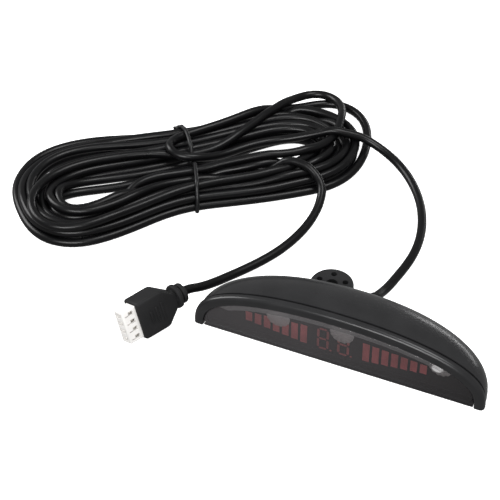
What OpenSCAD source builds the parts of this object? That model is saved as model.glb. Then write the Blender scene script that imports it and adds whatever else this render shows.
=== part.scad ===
// Dashboard display of a reversing aid, with its cable tied in a hank and a four-way plug.
// Millimetres. +X runs along the display to the right, the display faces -Y, +Z is up.
// The origin lies under the middle of the display, on the surface it stands on.

/* [Housing] */
// Width of the front frame, the widest part
unit_w = 107; // [96:1:124]
// Height of the front frame
unit_h = 22.6; // [21:0.2:28]
// Depth from the front of the frame to the back of the shell
unit_d = 28; // [26:0.5:36]
// Wall of the shell
wall = 1.8; // [1.2:0.1:2.2]
// Squareness of the arch along the width
arch_px = 2.1; // [1.9:0.05:2.4]
// Squareness of the arch along the height
arch_pz = 2.7; // [2.4:0.05:3]
// Squareness of the shell seen from above
plan_p = 2.2; // [2:0.05:2.4]
// Squareness of the shell seen from the side
side_p = 2.5; // [2.2:0.05:3]
// Clearance between fitted mouldings
fit_gap = 0.2; // [0.1:0.05:0.3]

/* [Front frame] */
// Depth of the frame, from its front to the seam
frame_d = 2.4; // [2:0.1:3.4]
// Width of the frame round the lens
frame_w = 3.6; // [3:0.1:4.4]
// Rounding of the outer edge
frame_round = 1.5; // [0.6:0.1:1.9]
// Step from the frame down to the shell
seam_step = 0.5; // [0.2:0.1:0.8]
// Reach of the snap hooks behind the seam
hook_l = 4; // [3:0.2:5]
// Thickness of a snap hook
hook_t = 1.1; // [0.8:0.1:1.2]
// Width of a snap hook
hook_w = 6; // [4:0.5:8]
// Distance of the outer hooks from the middle
hook_x = 24; // [18:1:30]

/* [Lens] */
// Set-back of the lens from the front of the frame
lens_set = 0.3; // [0:0.1:0.6]
// Gap between the lens and the frame
lens_gap = 0.15; // [0.05:0.05:0.25]
// Thickness of the lens plate
lens_t = 1.6; // [1.2:0.1:1.7]
// Thickness of the lens flange behind the frame
flange_t = 0.7; // [0.5:0.1:1]
// Height of the frosted rail along the top of the lens
rail_w = 4.2; // [3:0.2:5]
// Radius of the round lugs below the rail
lug_r = 4.2; // [3:0.2:4.6]
// Height of the lugs' centres
lug_z = 10.7; // [9.5:0.1:12]

/* [Display] */
// Offset of the lit field from the middle of the housing
field_x = -1.4; // [-2:0.2:2]
// Thickness of the dark mask
mask_t = 0.4; // [0.3:0.1:0.8]
// Bars on each side
bars = 7; // [5:1:8]
// Width of a bar
bar_w = 2.45; // [1.8:0.05:2.6]
// Pitch of the bars
bar_pitch = 3.43; // [3.2:0.01:3.6]
// Distance of the first bar from the middle of the field
bar_in = 10.2; // [9.8:0.1:11]
// Foot of the first bar
bar_z = 3.4; // [3.2:0.1:4]
// Height of the first bar
bar_h = 8.5; // [7.5:0.1:9]
// Rise of the foot from bar to bar
bar_rise = 0.42; // [0.2:0.02:0.5]
// Fall of the top from bar to bar
bar_fall = 0.28; // [0.1:0.02:0.4]
// Width of a digit
digit_w = 5.6; // [4.8:0.1:5.8]
// Height of a digit
digit_h = 10.2; // [9:0.1:10.4]
// Distance of a digit's middle from the middle of the field
digit_x = 3.75; // [3.6:0.05:3.9]
// Width of a digit's strokes
seg_w = 0.9; // [0.7:0.05:1.1]
// Space between strokes
seg_gap = 0.25; // [0.15:0.05:0.4]
// Thickness of the red diffusers' carriers
carrier_t = 0.7; // [0.5:0.1:1]
// Border of the carriers round the lit shapes
carrier_m = 0.35; // [0.3:0.05:0.45]
// Depth of the light frame
well_d = 4; // [3:0.2:5]

/* [Board] */
// Thickness of the circuit board
board_t = 1.6; // [1:0.2:1.6]
// Shank of the frame screws
screw_d = 1.9; // [1.6:0.1:2.2]
// Head of the frame screws
screw_head = 3.8; // [3.2:0.2:4]
// Distance of the side screws from the middle
screw_x = 38; // [37.5:0.5:39]
// Height of the light emitters above the board
led_t = 0.9; // [0.6:0.1:1.2]

/* [Buzzer turret] */
// Diameter of the turret
turret_d = 15.8; // [14.6:0.2:17]
// Height of the turret
turret_h = 9; // [8:0.2:11]
// Place of the turret to the left of the middle
turret_x = 12.2; // [11:0.2:13.2]
// Place of the turret behind the front of the frame
turret_y = 28.3; // [27.8:0.1:29]
// Roof of the turret
roof_t = 1.4; // [1:0.1:1.8]
// Diameter of the middle sound hole
sound_d = 4.4; // [3:0.2:5]
// Diameter of the small sound holes
sound_s = 2.1; // [1.4:0.1:2.4]
// Circle of the small sound holes
sound_pcd = 10.7; // [9.8:0.1:11]
// Diameter of the buzzer
buzzer_d = 12; // [10:0.2:12.2]

/* [Base] */
// Thickness of the base cover
base_t = 1.8; // [1.6:0.1:2.2]
// Width of the adhesive pad
pad_w = 31; // [20:1:32]
// Depth of the adhesive pad
pad_d = 12; // [8:0.5:13]
// Thickness of the adhesive pad
pad_t = 0.8; // [0.5:0.1:0.9]
// Shank of the base screws
base_screw_d = 2.2; // [1.8:0.1:2.4]
// Head of the base screws
base_head_d = 4.4; // [3.8:0.2:4.6]

/* [Cable] */
// Diameter of the cable
cord_d = 3.4; // [2.8:0.1:3.5]
// Diameter of one conductor
core_d = 0.9; // [0.7:0.05:0.95]
// Place of the cable gland to the right of the middle
gland_x = 3.5; // [3.2:0.1:6]
// Diameter of the gland's flange
gland_d = 6.4; // [6:0.2:7]
// Length of the gland's sleeve
gland_l = 2; // [1.5:0.5:4]
// Height of the hank
hank_h = 7.5; // [6.5:0.5:9]
// Length of the hank
hank_l = 146; // [140:1:152]
// Width of the hank at its ends
hank_w = 68; // [64:1:70]
// Width of the hank at its tie
waist_w = 49; // [44:1:54]
// Width of the tie
tie_w = 1.4; // [1:0.1:2]
// Thickness of the tie
tie_t = 0.9; // [0.6:0.1:1.2]

/* [Plug] */
// Length of the plug's boot
boot_l = 21; // [20:0.5:24]
// Width of the boot
boot_w = 14.2; // [13.8:0.2:16]
// Thickness of the boot
boot_t = 9; // [8:0.2:9.6]
// Diameter of the larger collar on the neck
neck_d = 9; // [8.2:0.2:9.2]
// Length of the neck
neck_l = 6.4; // [5.6:0.2:7]
// Poles of the plug
poles = 4; // [2:1:4]
// Pitch of the poles
pole_pitch = 3; // [2.8:0.1:3]
// Width of the plug's housing
plug_w = 12.4; // [12.2:0.1:12.8]
// Thickness of the plug's housing
plug_t = 5.2; // [4.8:0.1:5.4]
// Length of the housing in front of the boot
plug_out = 7; // [6:0.2:9]
// Length of the housing inside the boot
plug_in = 3; // [2:0.2:4]

/* [Hidden] */
$fn = 48;
eps = 0.01;
// Steps round the arch and along the shell
arch_n = 40;
loft_n = 14;
loft_end = 84;
// Small clearance round screws and cables in their holes
run_gap = 0.05;

// Arch sizes: half width and height of each outline
frame_a = unit_w / 2;
frame_h = unit_h;
shell_a = frame_a - seam_step;
shell_h = frame_h - seam_step;
shell_len = unit_d - frame_d;
cave_a = shell_a - wall;
cave_h = shell_h - wall;
cave_len = shell_len - wall;
open_a = frame_a - frame_w;
open_h = frame_h - frame_w;
// Depths of the stack behind the frame, measured from its front
flange_y = frame_d + flange_t;
mask_y = flange_y + mask_t;
well_y = mask_y + well_d;
board_y = well_y + board_t;
hook_y = frame_d + hook_l;
// Outlines that clear the tapering inside of the shell
hook_a = cave_a * plan_scale((hook_y - frame_d) / cave_len) - fit_gap;
hook_h = cave_h * side_scale((hook_y - frame_d) / cave_len) - fit_gap;
stack_a = min(hook_a - hook_t, cave_a * plan_scale((board_y - frame_d) / cave_len)) - fit_gap;
stack_h = min(hook_h - hook_t, cave_h * side_scale((board_y - frame_d) / cave_len)) - fit_gap;
// Width of the lens's rim behind its plate
lens_rim = 1.2;
// Lit field
lug_x = [-22.2, 1.7, 37.1];
digit_z = bar_z - 0.5;
// Frame screws: two at the sides and one above the digits
top_screw_z = (digit_z + digit_h + carrier_m + stack_h) / 2;
side_screw_z = 6.5;
frame_screw_at = [[-screw_x, side_screw_z], [screw_x, side_screw_z], [field_x, top_screw_z]];
screw_in = well_d - carrier_t;
screw_head_t = 1.2;
// Turret and overall depth
bore_d = buzzer_d + 2 * fit_gap + 0.3;
overall_d = max(unit_d, turret_y + turret_d / 2);
sound_first = 15;
sound_step = 60;
sound_at = [for (i = [0:3]) sound_first + sound_step * i];
// Base screws and their posts
post_d = base_screw_d + 3.8;
post_at = [[-34, 13.2], [34, 13.2], [-20, 20.2], [20, 20.2]];
pilot_d = base_screw_d + 2 * run_gap;
post_depth = 8;
pad_y = 12.6;
// Front lip of the base cover, behind the foot of the lens
lip_a = open_a - lens_gap - lens_rim - fit_gap;
lip_y = lens_set + lens_t + fit_gap;
// Gland
gland_boss_d = gland_d + 0.6;
gland_z = base_t + fit_gap + gland_boss_d / 2;
gland_seat = unit_d + 0.4;
gland_flange_t = 1.4;
gland_body_d = cord_d + 1.8;
gland_end = gland_seat + gland_flange_t + gland_l;
gland_in = gland_seat - 4.6;
// Header on the back of the board
header_w = 10.4;
header_h = 5.6;
header_l = 6.5;
core_pitch = 2.5;
core_start = board_y + header_l;
// Controller chip and capacitors on the back of the board
chip_at = [-20, 6];
chip_size = [9.6, 2.2, 6];
chip_legs = 7;
leg_pitch = 1.3;
cap_x = [14.5, 21];
cap_z = 6.4;
cap_d = 5;
cap_l = 7;
tail_start = gland_in - 1;
// Hank
hank_at = [-89, 57];
hank_turn = 47;
hank_r = hank_w / 2;
hank_c = hank_l / 2 - hank_r;
waist_dip = (hank_w - waist_w) / 2;
waist_r = (hank_c * hank_c + waist_dip * waist_dip) / (2 * waist_dip);
hank_end = hank_at + hank_c * [cos(hank_turn), sin(hank_turn)];
flat_r = hank_r - 0.5;
// The tie runs aslant over the waist
tie_tilt = -14;
tie_l = waist_w / cos(tie_tilt);
lead_dir = 14;
plug_dir = -44;
lead_z = 3.6;
// Plug: lies on its narrow edge, turned towards the front
plug_turn = 244;
plug_roll = -67.5;
plug_z = boot_w / 2 * sin(-plug_roll) + boot_t / 2 * cos(plug_roll) + 0.05;
plug_at = [-59.2, -12.4, plug_z];
boot_round = 0.8;
shoulder_l = 5.4;
neck_w = 5;
neck_t = 6.4;
collar_t = 1.9;
collar_x = 3;
cell_w = 1.9;
cell_h = plug_t - 2;
cell_l = plug_out + plug_in - 2;
// Windows over the terminals, each with a slit towards the front
window_back = 4.4;
window_l = 1.9;
slit_w = 0.45;
slit_front = 1;
// Route of the cable from the gland to the hank
lead_route = concat([[gland_x, gland_end - overall_d / 2, gland_z]],
    [[3.9, 18, 4.9], [5, 23, 3], [5.7, 29.3, 1.8], [6.7, 35.1, 1.75], [7.45, 41.5, 1.75],
     [7.45, 48.9, 1.75], [6.35, 56.5, 1.75], [4.35, 63.5, 1.75], [1.15, 71.2, 1.75],
     [-3.35, 78.6, 1.75], [-9.2, 85.8, 1.75], [-16.2, 91.6, 2.2], [-23.2, 94.5, 3.6]],
    [concat(hank_end + flat_r * [cos(lead_dir), sin(lead_dir)], [lead_z])]);
// Route of the cable from the hank to the plug
plug_route = concat([concat(hank_end + flat_r * [cos(plug_dir), sin(plug_dir)], [lead_z])],
    [[-34.2, 57.6, 2.8], [-33.7, 51.7, 1.75], [-34.4, 42.9, 1.75], [-36.3, 34, 1.75],
     [-39.1, 25.8, 1.75], [-42.6, 18.8, 1.8], [-46.2, 12.6, 2.1], [-49.8, 6.5, 3.2],
     [-53.1, -0.1, 5.2], [-56.3, -6.9, 7.5]],
    [plug_at]);

// Scale of the plan and of the side profile at a share t of the depth
function plan_scale(t) = pow(1 - pow(min(t, 1), plan_p), 1 / plan_p);
function side_scale(t) = pow(1 - pow(min(t, 1), side_p), 1 / side_p);

// Points of the arch from its right foot over the top to its left foot
function arch_pts(a, h) = [for (i = [0:arch_n])
    let (u = 180 * i / arch_n, c = cos(u), s = max(0, sin(u)))
    [a * sign(c) * pow(abs(c), 2 / arch_px), h * pow(s, 2 / arch_pz)]];

// The arch as a ring in space, with its feet carried down by a skirt
function arch_ring(a, h, y, skirt) = [for (p = concat(arch_pts(a, h),
    skirt > 0 ? [[-a, -skirt], [a, -skirt]] : [])) [p[0], y, p[1]]];

// Rings of the shell: the arch shrinks along the depth to a rounded back
function shell_rings(a, h, len, skirt) = [for (i = [0:loft_n])
    let (t = sin(loft_end * i / loft_n))
    arch_ring(a * plan_scale(t), h * side_scale(t), frame_d + len * t, skirt)];

// Rings of the frame: a quarter round at the front edge, then straight back to the seam
function frame_rings() = concat([for (i = [0:5]) let (q = 90 * i / 5, cut = frame_round * (1 - sin(q)))
    arch_ring(frame_a - cut, frame_h - cut, frame_round * (1 - cos(q)), 0)],
    [arch_ring(frame_a, frame_h, frame_d, 0)]);

function unit(v) = v / norm(v);

// One ring of a tube round point c, square to the direction t
function tube_ring(c, t, d, sides) = let (s = unit(cross(t, [0, 0, 1])), u = cross(s, t))
    [for (k = [0:sides - 1]) let (q = 360 * (k + 0.5) / sides)
        c + d / 2 * (cos(q) * s + sin(q) * u)];

// Points of a smooth curve through the route, with given end directions
function hermite(a, b, ta, tb, f) = a * (2 * f * f * f - 3 * f * f + 1) + ta * (f * f * f - 2 * f * f + f)
    + b * (3 * f * f - 2 * f * f * f) + tb * (f * f * f - f * f);
function slope(r, i, d0, d1) = i == 0 ? d0 * norm(r[1] - r[0])
    : i == len(r) - 1 ? d1 * norm(r[i] - r[i - 1]) : (r[i + 1] - r[i - 1]) / 2;
function slope_at(r, i, f, d0, d1) = let (h = 0.02)
    i == 0 && f == 0 ? d0
    : i >= len(r) - 1 ? d1
    : unit(curve_at(r, i, min(1, f + h), d0, d1) - curve_at(r, i, max(0, f - h), d0, d1));
function curve_at(r, i, f, d0, d1) = i >= len(r) - 1 ? r[len(r) - 1]
    : hermite(r[i], r[i + 1], slope(r, i, d0, d1), slope(r, i + 1, d0, d1), f);
function tube_rings(r, d0, d1, d, sides, steps) = concat([for (i = [0:len(r) - 2], k = [0:steps - 1])
    let (f = k / steps) tube_ring(curve_at(r, i, f, d0, d1), slope_at(r, i, f, d0, d1), d, sides)],
    [tube_ring(r[len(r) - 1], d1, d, sides)]);

// A closed skin over a row of rings
module skin(rings) {
    m = len(rings[0]);
    last = len(rings) - 1;
    sides = [for (k = [0:last - 1], i = [0:m - 1])
        [k * m + i, k * m + (i + 1) % m, (k + 1) * m + (i + 1) % m, (k + 1) * m + i]];
    front = [[for (i = [m - 1:-1:0]) i]];
    back = [[for (i = [0:m - 1]) last * m + i]];
    polyhedron([for (r = rings, p = r) p], concat(sides, front, back), convexity = 6);
}

// The same for a tube, whose rings turn the other way
module tube_skin(rings) {
    skin([for (r = rings) [for (i = [len(r) - 1:-1:0]) r[i]]]);
}

// Puts the display's own depths, measured from its front, into the frame of the object
module placed() {
    translate([0, -overall_d / 2, 0]) children();
}

// A flat shape seen from the front, between two depths
module sheet(y0, y1) {
    translate([0, y1, 0]) rotate([90, 0, 0]) linear_extrude(y1 - y0) children();
}

module arch2d(a, h, skirt = 0) {
    polygon(concat(arch_pts(a, h), skirt > 0 ? [[-a, -skirt], [a, -skirt]] : []));
}

// A round bar along the depth
module bar_y(x, z, d, y0, y1) {
    translate([x, y1, z]) rotate([90, 0, 0]) cylinder(d = d, h = y1 - y0);
}

module above_base() {
    translate([-unit_w, base_t]) square([2 * unit_w, 2 * unit_h]);
}

// One group of bars: side is 1 on the right and -1 on the left
module bars2d(side, grow = 0) {
    for (i = [0:bars - 1]) {
        z0 = bar_z + i * bar_rise - grow;
        z1 = bar_z + bar_h - i * bar_fall + grow;
        x0 = bar_in + i * bar_pitch - grow;
        translate([field_x, 0]) mirror([side < 0 ? 1 : 0, 0])
            translate([x0, z0]) square([bar_w + 2 * grow, z1 - z0]);
    }
}

// Carrier behind one group of bars
module carrier2d(side, grow = 0) {
    m = carrier_m + grow;
    x0 = bar_in - m;
    x1 = bar_in + (bars - 1) * bar_pitch + bar_w + m;
    z0 = bar_z - m;
    z1 = bar_z + bar_h + m;
    n = bars - 1;
    translate([field_x, 0]) mirror([side < 0 ? 1 : 0, 0])
        polygon([[x0, z0], [x0 + bar_w, z0], [x1, z0 + n * bar_rise],
            [x1, z1 - n * bar_fall], [x0 + bar_w, z1], [x0, z1]]);
}

// One stroke with pointed ends, from the origin along X
module stroke2d(l, grow = 0) {
    r = seg_w / 2 + grow;
    polygon([[-grow, 0], [r - grow, r], [l - r + grow, r], [l + grow, 0], [l - r + grow, -r], [r - grow, -r]]);
}

// Strokes of one digit, drawn as a full eight with its point
module digit2d(x, grow = 0) {
    w = digit_w - 2.1;
    h2 = (digit_h - seg_w) / 2;
    translate([field_x + x - digit_w / 2 + seg_w / 2, digit_z + seg_w / 2]) {
        for (i = [0:2])
            translate([seg_gap, i * h2]) stroke2d(w - 2 * seg_gap, grow);
        for (sx = [0, w], i = [0, 1])
            translate([sx, i * h2 + seg_gap]) rotate(90) stroke2d(h2 - 2 * seg_gap, grow);
        translate([digit_w - seg_w, 0]) circle(d = seg_w + 2 * grow, $fn = 24);
    }
}

module digit_carrier2d(x, grow = 0) {
    m = min(carrier_m, digit_x - digit_w / 2 - grow - 0.2) + grow;
    translate([field_x + x - digit_w / 2 - m, digit_z - m])
        square([digit_w + 2 * m, digit_h + 2 * m]);
}

module post_column(at) {
    translate([at[0], at[1], base_t]) cylinder(d = post_d, h = unit_h);
}

module rear_shell() {
    color("#3d3d3e") placed() difference() {
        union() {
            difference() {
                union() {
                    skin(shell_rings(shell_a, shell_h, shell_len, 0));
                    translate([-turret_x, turret_y, 0]) cylinder(d = turret_d, h = turret_h);
                }
                skin(concat([arch_ring(cave_a, cave_h, frame_d - 1, 1)],
                    shell_rings(cave_a, cave_h, cave_len, 1)));
                translate([-turret_x, turret_y, -1]) cylinder(d = bore_d, h = turret_h - roof_t + 1);
            }
            bar_y(gland_x, gland_z, gland_boss_d, unit_d - wall - 1.6, gland_seat);
            intersection() {
                for (p = post_at) post_column(p);
                skin(shell_rings(shell_a - wall / 2, shell_h - wall / 2, shell_len - wall / 2, 0));
            }
        }
        translate([-turret_x, turret_y, turret_h - roof_t - 0.5]) {
            cylinder(d = sound_d, h = roof_t + 1);
            for (q = sound_at)
                rotate(q) translate([sound_pcd / 2, 0]) cylinder(d = sound_s, h = roof_t + 1, $fn = 24);
        }
        bar_y(gland_x, gland_z, gland_body_d + 2 * run_gap, unit_d - 2 * wall - 4, gland_seat + 1);
        for (p = post_at)
            translate([p[0], p[1], base_t - 1]) cylinder(d = pilot_d, h = post_depth + 1, $fn = 24);
    }
}

module front_frame() {
    color("#3b3b3d") placed() {
        difference() {
            skin(frame_rings());
            sheet(-1, frame_d + 1) arch2d(open_a, open_h, 1);
        }
        sheet(frame_d, hook_y) intersection() {
            difference() {
                arch2d(hook_a, hook_h);
                arch2d(hook_a - hook_t, hook_h - hook_t, 1);
                arch2d(open_a, open_h, 1);
            }
            for (x = [-hook_x, 0, hook_x]) translate([x - hook_w / 2, 0]) square([hook_w, unit_h]);
        }
    }
}

module lens() {
    color("#3c3839") placed() {
        sheet(lens_set, lens_set + lens_t) arch2d(open_a - lens_gap, open_h - lens_gap);
        sheet(lens_set + lens_t, flange_y) difference() {
            arch2d(open_a - lens_gap, open_h - lens_gap);
            arch2d(open_a - lens_gap - lens_rim, open_h - lens_gap - lens_rim, 1);
        }
        sheet(frame_d, flange_y) difference() {
            arch2d(hook_a, hook_h);
            arch2d(open_a - lens_gap - lens_rim, open_h - lens_gap - lens_rim, 1);
            for (x = [-hook_x, 0, hook_x])
                translate([x - hook_w / 2 - fit_gap, open_h - 4]) square([hook_w + 2 * fit_gap, unit_h]);
        }
        sheet(lens_set + lens_t, flange_y - fit_gap) intersection() {
            arch2d(open_a - lens_gap - 1, open_h - lens_gap - 1);
            union() {
                difference() {
                    arch2d(open_a, open_h);
                    translate([0, -rail_w]) arch2d(open_a, open_h, unit_h);
                }
                for (x = lug_x) {
                    translate([x, lug_z]) circle(r = lug_r);
                    translate([x - lug_r, lug_z]) square([2 * lug_r, open_h]);
                }
            }
        }
    }
}

module display_mask() {
    color("#232022") placed() sheet(flange_y, mask_y) difference() {
        intersection() {
            arch2d(stack_a, stack_h);
            above_base();
        }
        for (side = [-1, 1]) bars2d(side, run_gap);
        for (x = [-digit_x, digit_x]) digit2d(x, run_gap);
    }
}

module bar_group(side) {
    color("#8c4a4c") placed() {
        sheet(flange_y, mask_y) bars2d(side);
        sheet(mask_y, mask_y + carrier_t) carrier2d(side);
    }
}

module bars_left() {
    bar_group(-1);
}

module bars_right() {
    bar_group(1);
}

module digit_block(x) {
    color("#8c4a4c") placed() {
        sheet(flange_y, mask_y) digit2d(x);
        sheet(mask_y, mask_y + carrier_t) digit_carrier2d(x);
    }
}

module digit_left() {
    digit_block(-digit_x);
}

module digit_right() {
    digit_block(digit_x);
}

module light_frame() {
    color("#6e6c6d") placed() difference() {
        sheet(mask_y, well_y) intersection() {
            arch2d(stack_a, stack_h);
            above_base();
        }
        sheet(mask_y - 1, mask_y + carrier_t) {
            for (side = [-1, 1]) carrier2d(side, run_gap);
            for (x = [-digit_x, digit_x]) digit_carrier2d(x, run_gap);
        }
        sheet(mask_y, well_y + 1) {
            for (side = [-1, 1]) bars2d(side);
            for (x = [-digit_x, digit_x]) translate([field_x + x - digit_w / 2, digit_z])
                square([digit_w, digit_h]);
        }
        for (p = frame_screw_at)
            bar_y(p[0], p[1], screw_d + 2 * run_gap, well_y - screw_in, well_y + 1, $fn = 24);
    }
}

module circuit_board() {
    color("#2f5a3a") placed() difference() {
        sheet(well_y, board_y) intersection() {
            arch2d(stack_a, stack_h);
            above_base();
        }
        for (p = frame_screw_at)
            bar_y(p[0], p[1], screw_d + 2 * run_gap, well_y - 1, board_y + 1, $fn = 24);
    }
}

module bar_leds() {
    color("#d8d2c0") placed() sheet(well_y - led_t, well_y)
        for (side = [-1, 1], i = [0:bars - 1])
            translate([field_x + side * (bar_in + i * bar_pitch + bar_w / 2), bar_z + bar_h / 2])
                square([1.2, 2], center = true);
}

module digit_leds() {
    color("#d8d2c0") placed() sheet(well_y - led_t, well_y)
        for (x = [-digit_x, digit_x], z = [0, 1, 2], s = [-1, 1])
            translate([field_x + x + s * (digit_w / 2 - 1.2), digit_z + 1.2 + z * (digit_h - 2.4) / 2])
                square([1.2, 1.2], center = true);
}

module frame_screws() {
    color("silver") placed() for (p = frame_screw_at) {
        bar_y(p[0], p[1], screw_d, well_y - screw_in + 0.4, board_y, $fn = 24);
        difference() {
            bar_y(p[0], p[1], screw_head, board_y, board_y + screw_head_t);
            translate([p[0] - 0.25, board_y + 0.6, p[1] - 1.2]) cube([0.5, 1, 2.4]);
            translate([p[0] - 1.2, board_y + 0.6, p[1] - 0.25]) cube([2.4, 1, 0.5]);
        }
    }
}

module controller_chip() {
    color("#202022") placed() {
        translate([chip_at[0], board_y + 0.2, chip_at[1]]) cube(chip_size);
        for (i = [0:chip_legs - 1], z = [-1.1, chip_size[2] - 0.5])
            translate([chip_at[0] + 0.6 + i * leg_pitch, board_y, chip_at[1] + z])
                cube([0.5, 0.9, 1.6]);
    }
}

module oscillator() {
    color("silver") placed() translate([12, board_y, 12]) rotate([-90, 0, 0]) linear_extrude(3.4)
        round_rect(10, 4, 1.9);
}

module capacitors() {
    color("#2a3a66") placed() for (x = cap_x)
        bar_y(x, cap_z, cap_d, board_y, board_y + cap_l);
}

module round_rect(w, h, r) {
    square([w - 2 * r, h], center = true);
    square([w, h - 2 * r], center = true);
    for (x = [-1, 1], y = [-1, 1])
        translate([x * (w / 2 - r), y * (h / 2 - r)]) circle(r = r, $fn = 24);
}

module wire_header() {
    color("#e6e1d4") placed() difference() {
        translate([gland_x - header_w / 2, board_y, gland_z - header_h / 2])
            cube([header_w, header_l, header_h]);
        translate([gland_x - header_w / 2 + 1, core_start - 0.8, gland_z + header_h / 2 - 1.2])
            cube([header_w - 2, 2, 2]);
    }
}

// Four conductors from the header to the end of the cable's jacket
module lead_wires() {
    color("#b03a34") placed() for (i = [0:3]) {
        x0 = gland_x + (i - 1.5) * core_pitch;
        x1 = gland_x + (i < 2 ? -1 : 1) * core_d * 0.56;
        z1 = gland_z + (i % 2 == 0 ? 1 : -1) * core_d * 0.56;
        r = [[x0, core_start, gland_z], [x1, tail_start, z1]];
        tube_skin(tube_rings(r, [0, 1, 0], [0, 1, 0], core_d, 8, 6));
    }
}

module buzzer() {
    color("#1c1c1e") placed() translate([-turret_x, turret_y, base_t]) difference() {
        cylinder(d = buzzer_d, h = turret_h - roof_t - base_t - 0.1);
        translate([0, 0, 2]) cylinder(d = 2, h = turret_h, $fn = 24);
    }
}

module base_cover() {
    color("#363637") placed() difference() {
        union() {
            intersection() {
                skin(shell_rings(cave_a - fit_gap, cave_h - fit_gap, cave_len - fit_gap, 0));
                translate([-unit_w, flange_y, 0]) cube([2 * unit_w, 2 * unit_d, base_t]);
            }
            translate([-turret_x, turret_y, 0]) cylinder(d = bore_d - 2 * fit_gap, h = base_t);
            translate([-lip_a, lip_y, 0]) cube([2 * lip_a, flange_y - lip_y + eps, base_t]);
        }
        for (p = post_at) translate([p[0], p[1], 0]) {
            translate([0, 0, -1]) cylinder(d = pilot_d, h = base_t + 2, $fn = 24);
            translate([0, 0, -1]) cylinder(d = base_head_d + 2 * fit_gap, h = 1.9);
        }
        translate([-pad_w / 2, pad_y - pad_d / 2, -1]) cube([pad_w, pad_d, pad_t + 1]);
    }
}

module base_screws() {
    color("silver") placed() for (p = post_at) translate([p[0], p[1], 0]) {
        translate([0, 0, 0.9]) cylinder(d = base_screw_d, h = base_t + post_depth - 2, $fn = 24);
        difference() {
            translate([0, 0, 0.1]) cylinder(d = base_head_d, h = 0.8);
            translate([-1.3, -0.25, -1]) cube([2.6, 0.5, 1.6]);
            translate([-0.25, -1.3, -1]) cube([0.5, 2.6, 1.6]);
        }
    }
}

module adhesive_pad() {
    color("#8a2f2c") placed() translate([-pad_w / 2, pad_y - pad_d / 2, 0])
        cube([pad_w, pad_d, pad_t]);
}

module cable_gland() {
    color("#262627") placed() translate([gland_x, 0, gland_z]) rotate([-90, 0, 0]) rotate_extrude()
        polygon([[cord_d / 2 + run_gap, gland_in], [gland_body_d / 2, gland_in],
            [gland_body_d / 2, gland_seat], [gland_d / 2, gland_seat],
            [gland_d / 2, gland_seat + gland_flange_t], [gland_body_d / 2 + 0.5, gland_seat + gland_flange_t],
            [gland_body_d / 2, gland_end], [cord_d / 2 + run_gap, gland_end]]);
}

module cable_tail() {
    color("#1e1e1f") placed() bar_y(gland_x, gland_z, cord_d, tail_start, gland_end);
}

module display_lead() {
    color("#1e1e1f") tube_skin(tube_rings(lead_route, [0, 1, 0],
        [-cos(lead_dir), -sin(lead_dir), 0], cord_d, 8, 2));
}

module plug_lead() {
    color("#1e1e1f") tube_skin(tube_rings(plug_route, [cos(plug_dir), sin(plug_dir), 0],
        [cos(plug_turn), sin(plug_turn), 0], cord_d, 8, 2));
}

// Outline of the hank: two round ends and a waist at the tie
module hank2d() {
    difference() {
        union() {
            for (s = [-1, 1]) translate([s * hank_c, 0]) circle(r = hank_r, $fn = 96);
            square([2 * hank_c, hank_w], center = true);
        }
        for (s = [-1, 1])
            translate([0, s * (waist_w / 2 + waist_r)]) circle(r = waist_r, $fn = 192);
    }
}

module at_hank() {
    translate([hank_at[0], hank_at[1], 0]) rotate(hank_turn) children();
}

module at_tie() {
    at_hank() rotate(tie_tilt) children();
}

// Cross-section of the tie, seen along the hank
module tie2d(inset) {
    translate([0, hank_h / 2])
        square([tie_l - 2 * inset, hank_h - 2 * inset], center = true);
}

module tie_band(inset, w) {
    rotate([90, 0, 90]) translate([0, 0, -w / 2]) linear_extrude(w) tie2d(inset);
}

module hank() {
    color("#1e1e1f") difference() {
        at_hank() linear_extrude(hank_h) hank2d();
        at_tie() difference() {
            translate([-tie_w / 2, -hank_w, -1]) cube([tie_w, 2 * hank_w, hank_h + 2]);
            tie_band(tie_t, 2 * tie_w);
        }
        for (q = [lead_dir, plug_dir]) translate([hank_end[0], hank_end[1], -1]) rotate(q)
            translate([flat_r, -8]) cube([8, 16, hank_h + 2]);
    }
}

module hank_tie() {
    color("#141415") at_tie() difference() {
        tie_band(0, tie_w);
        tie_band(tie_t, tie_w + 1);
    }
}

// The plug's own frame: +X is its mating direction, its wide faces look along Z
module at_plug() {
    translate(plug_at) rotate([0, 0, plug_turn]) rotate([plug_roll, 0, 0]) children();
}

module bar_x(d, x0, x1) {
    translate([x0, 0, 0]) rotate([0, 90, 0]) cylinder(d = d, h = x1 - x0);
}

// Outline of the boot's box, drawn in by c
module boot2d(c) {
    x1 = neck_l + shoulder_l;
    translate([x1, -boot_w / 2 + c]) square([boot_l - x1 - c, boot_w - 2 * c]);
}

module plug_boot() {
    color("#232324") at_plug() difference() {
        union() {
            hull() {
                linear_extrude(boot_t, center = true) boot2d(boot_round);
                linear_extrude(boot_t - 2 * boot_round, center = true) boot2d(0);
                translate([neck_l - 1, -neck_w / 2, -neck_t / 2]) cube([1, neck_w, neck_t]);
            }
            bar_x(neck_d - 3, 0, neck_l + 2);
            bar_x(neck_d - 1.4, 0, collar_t);
            bar_x(neck_d, collar_x, collar_x + collar_t);
            for (i = [0:2], s = [-1, 1])
                translate([neck_l + shoulder_l + 1.4 + i * 2.4, 0, s * (boot_t / 2 + 0.1)])
                    cube([0.9, boot_w / 2 - 1.3 * i, 0.8], center = true);
        }
        translate([boot_l - plug_in, -plug_w / 2 - run_gap, -plug_t / 2 - run_gap])
            cube([plug_in + 1, plug_w + 2 * run_gap, plug_t + 2 * run_gap]);
    }
}

module pole_each() {
    for (i = [0:poles - 1]) translate([0, (i - (poles - 1) / 2) * pole_pitch, 0]) children();
}

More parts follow.
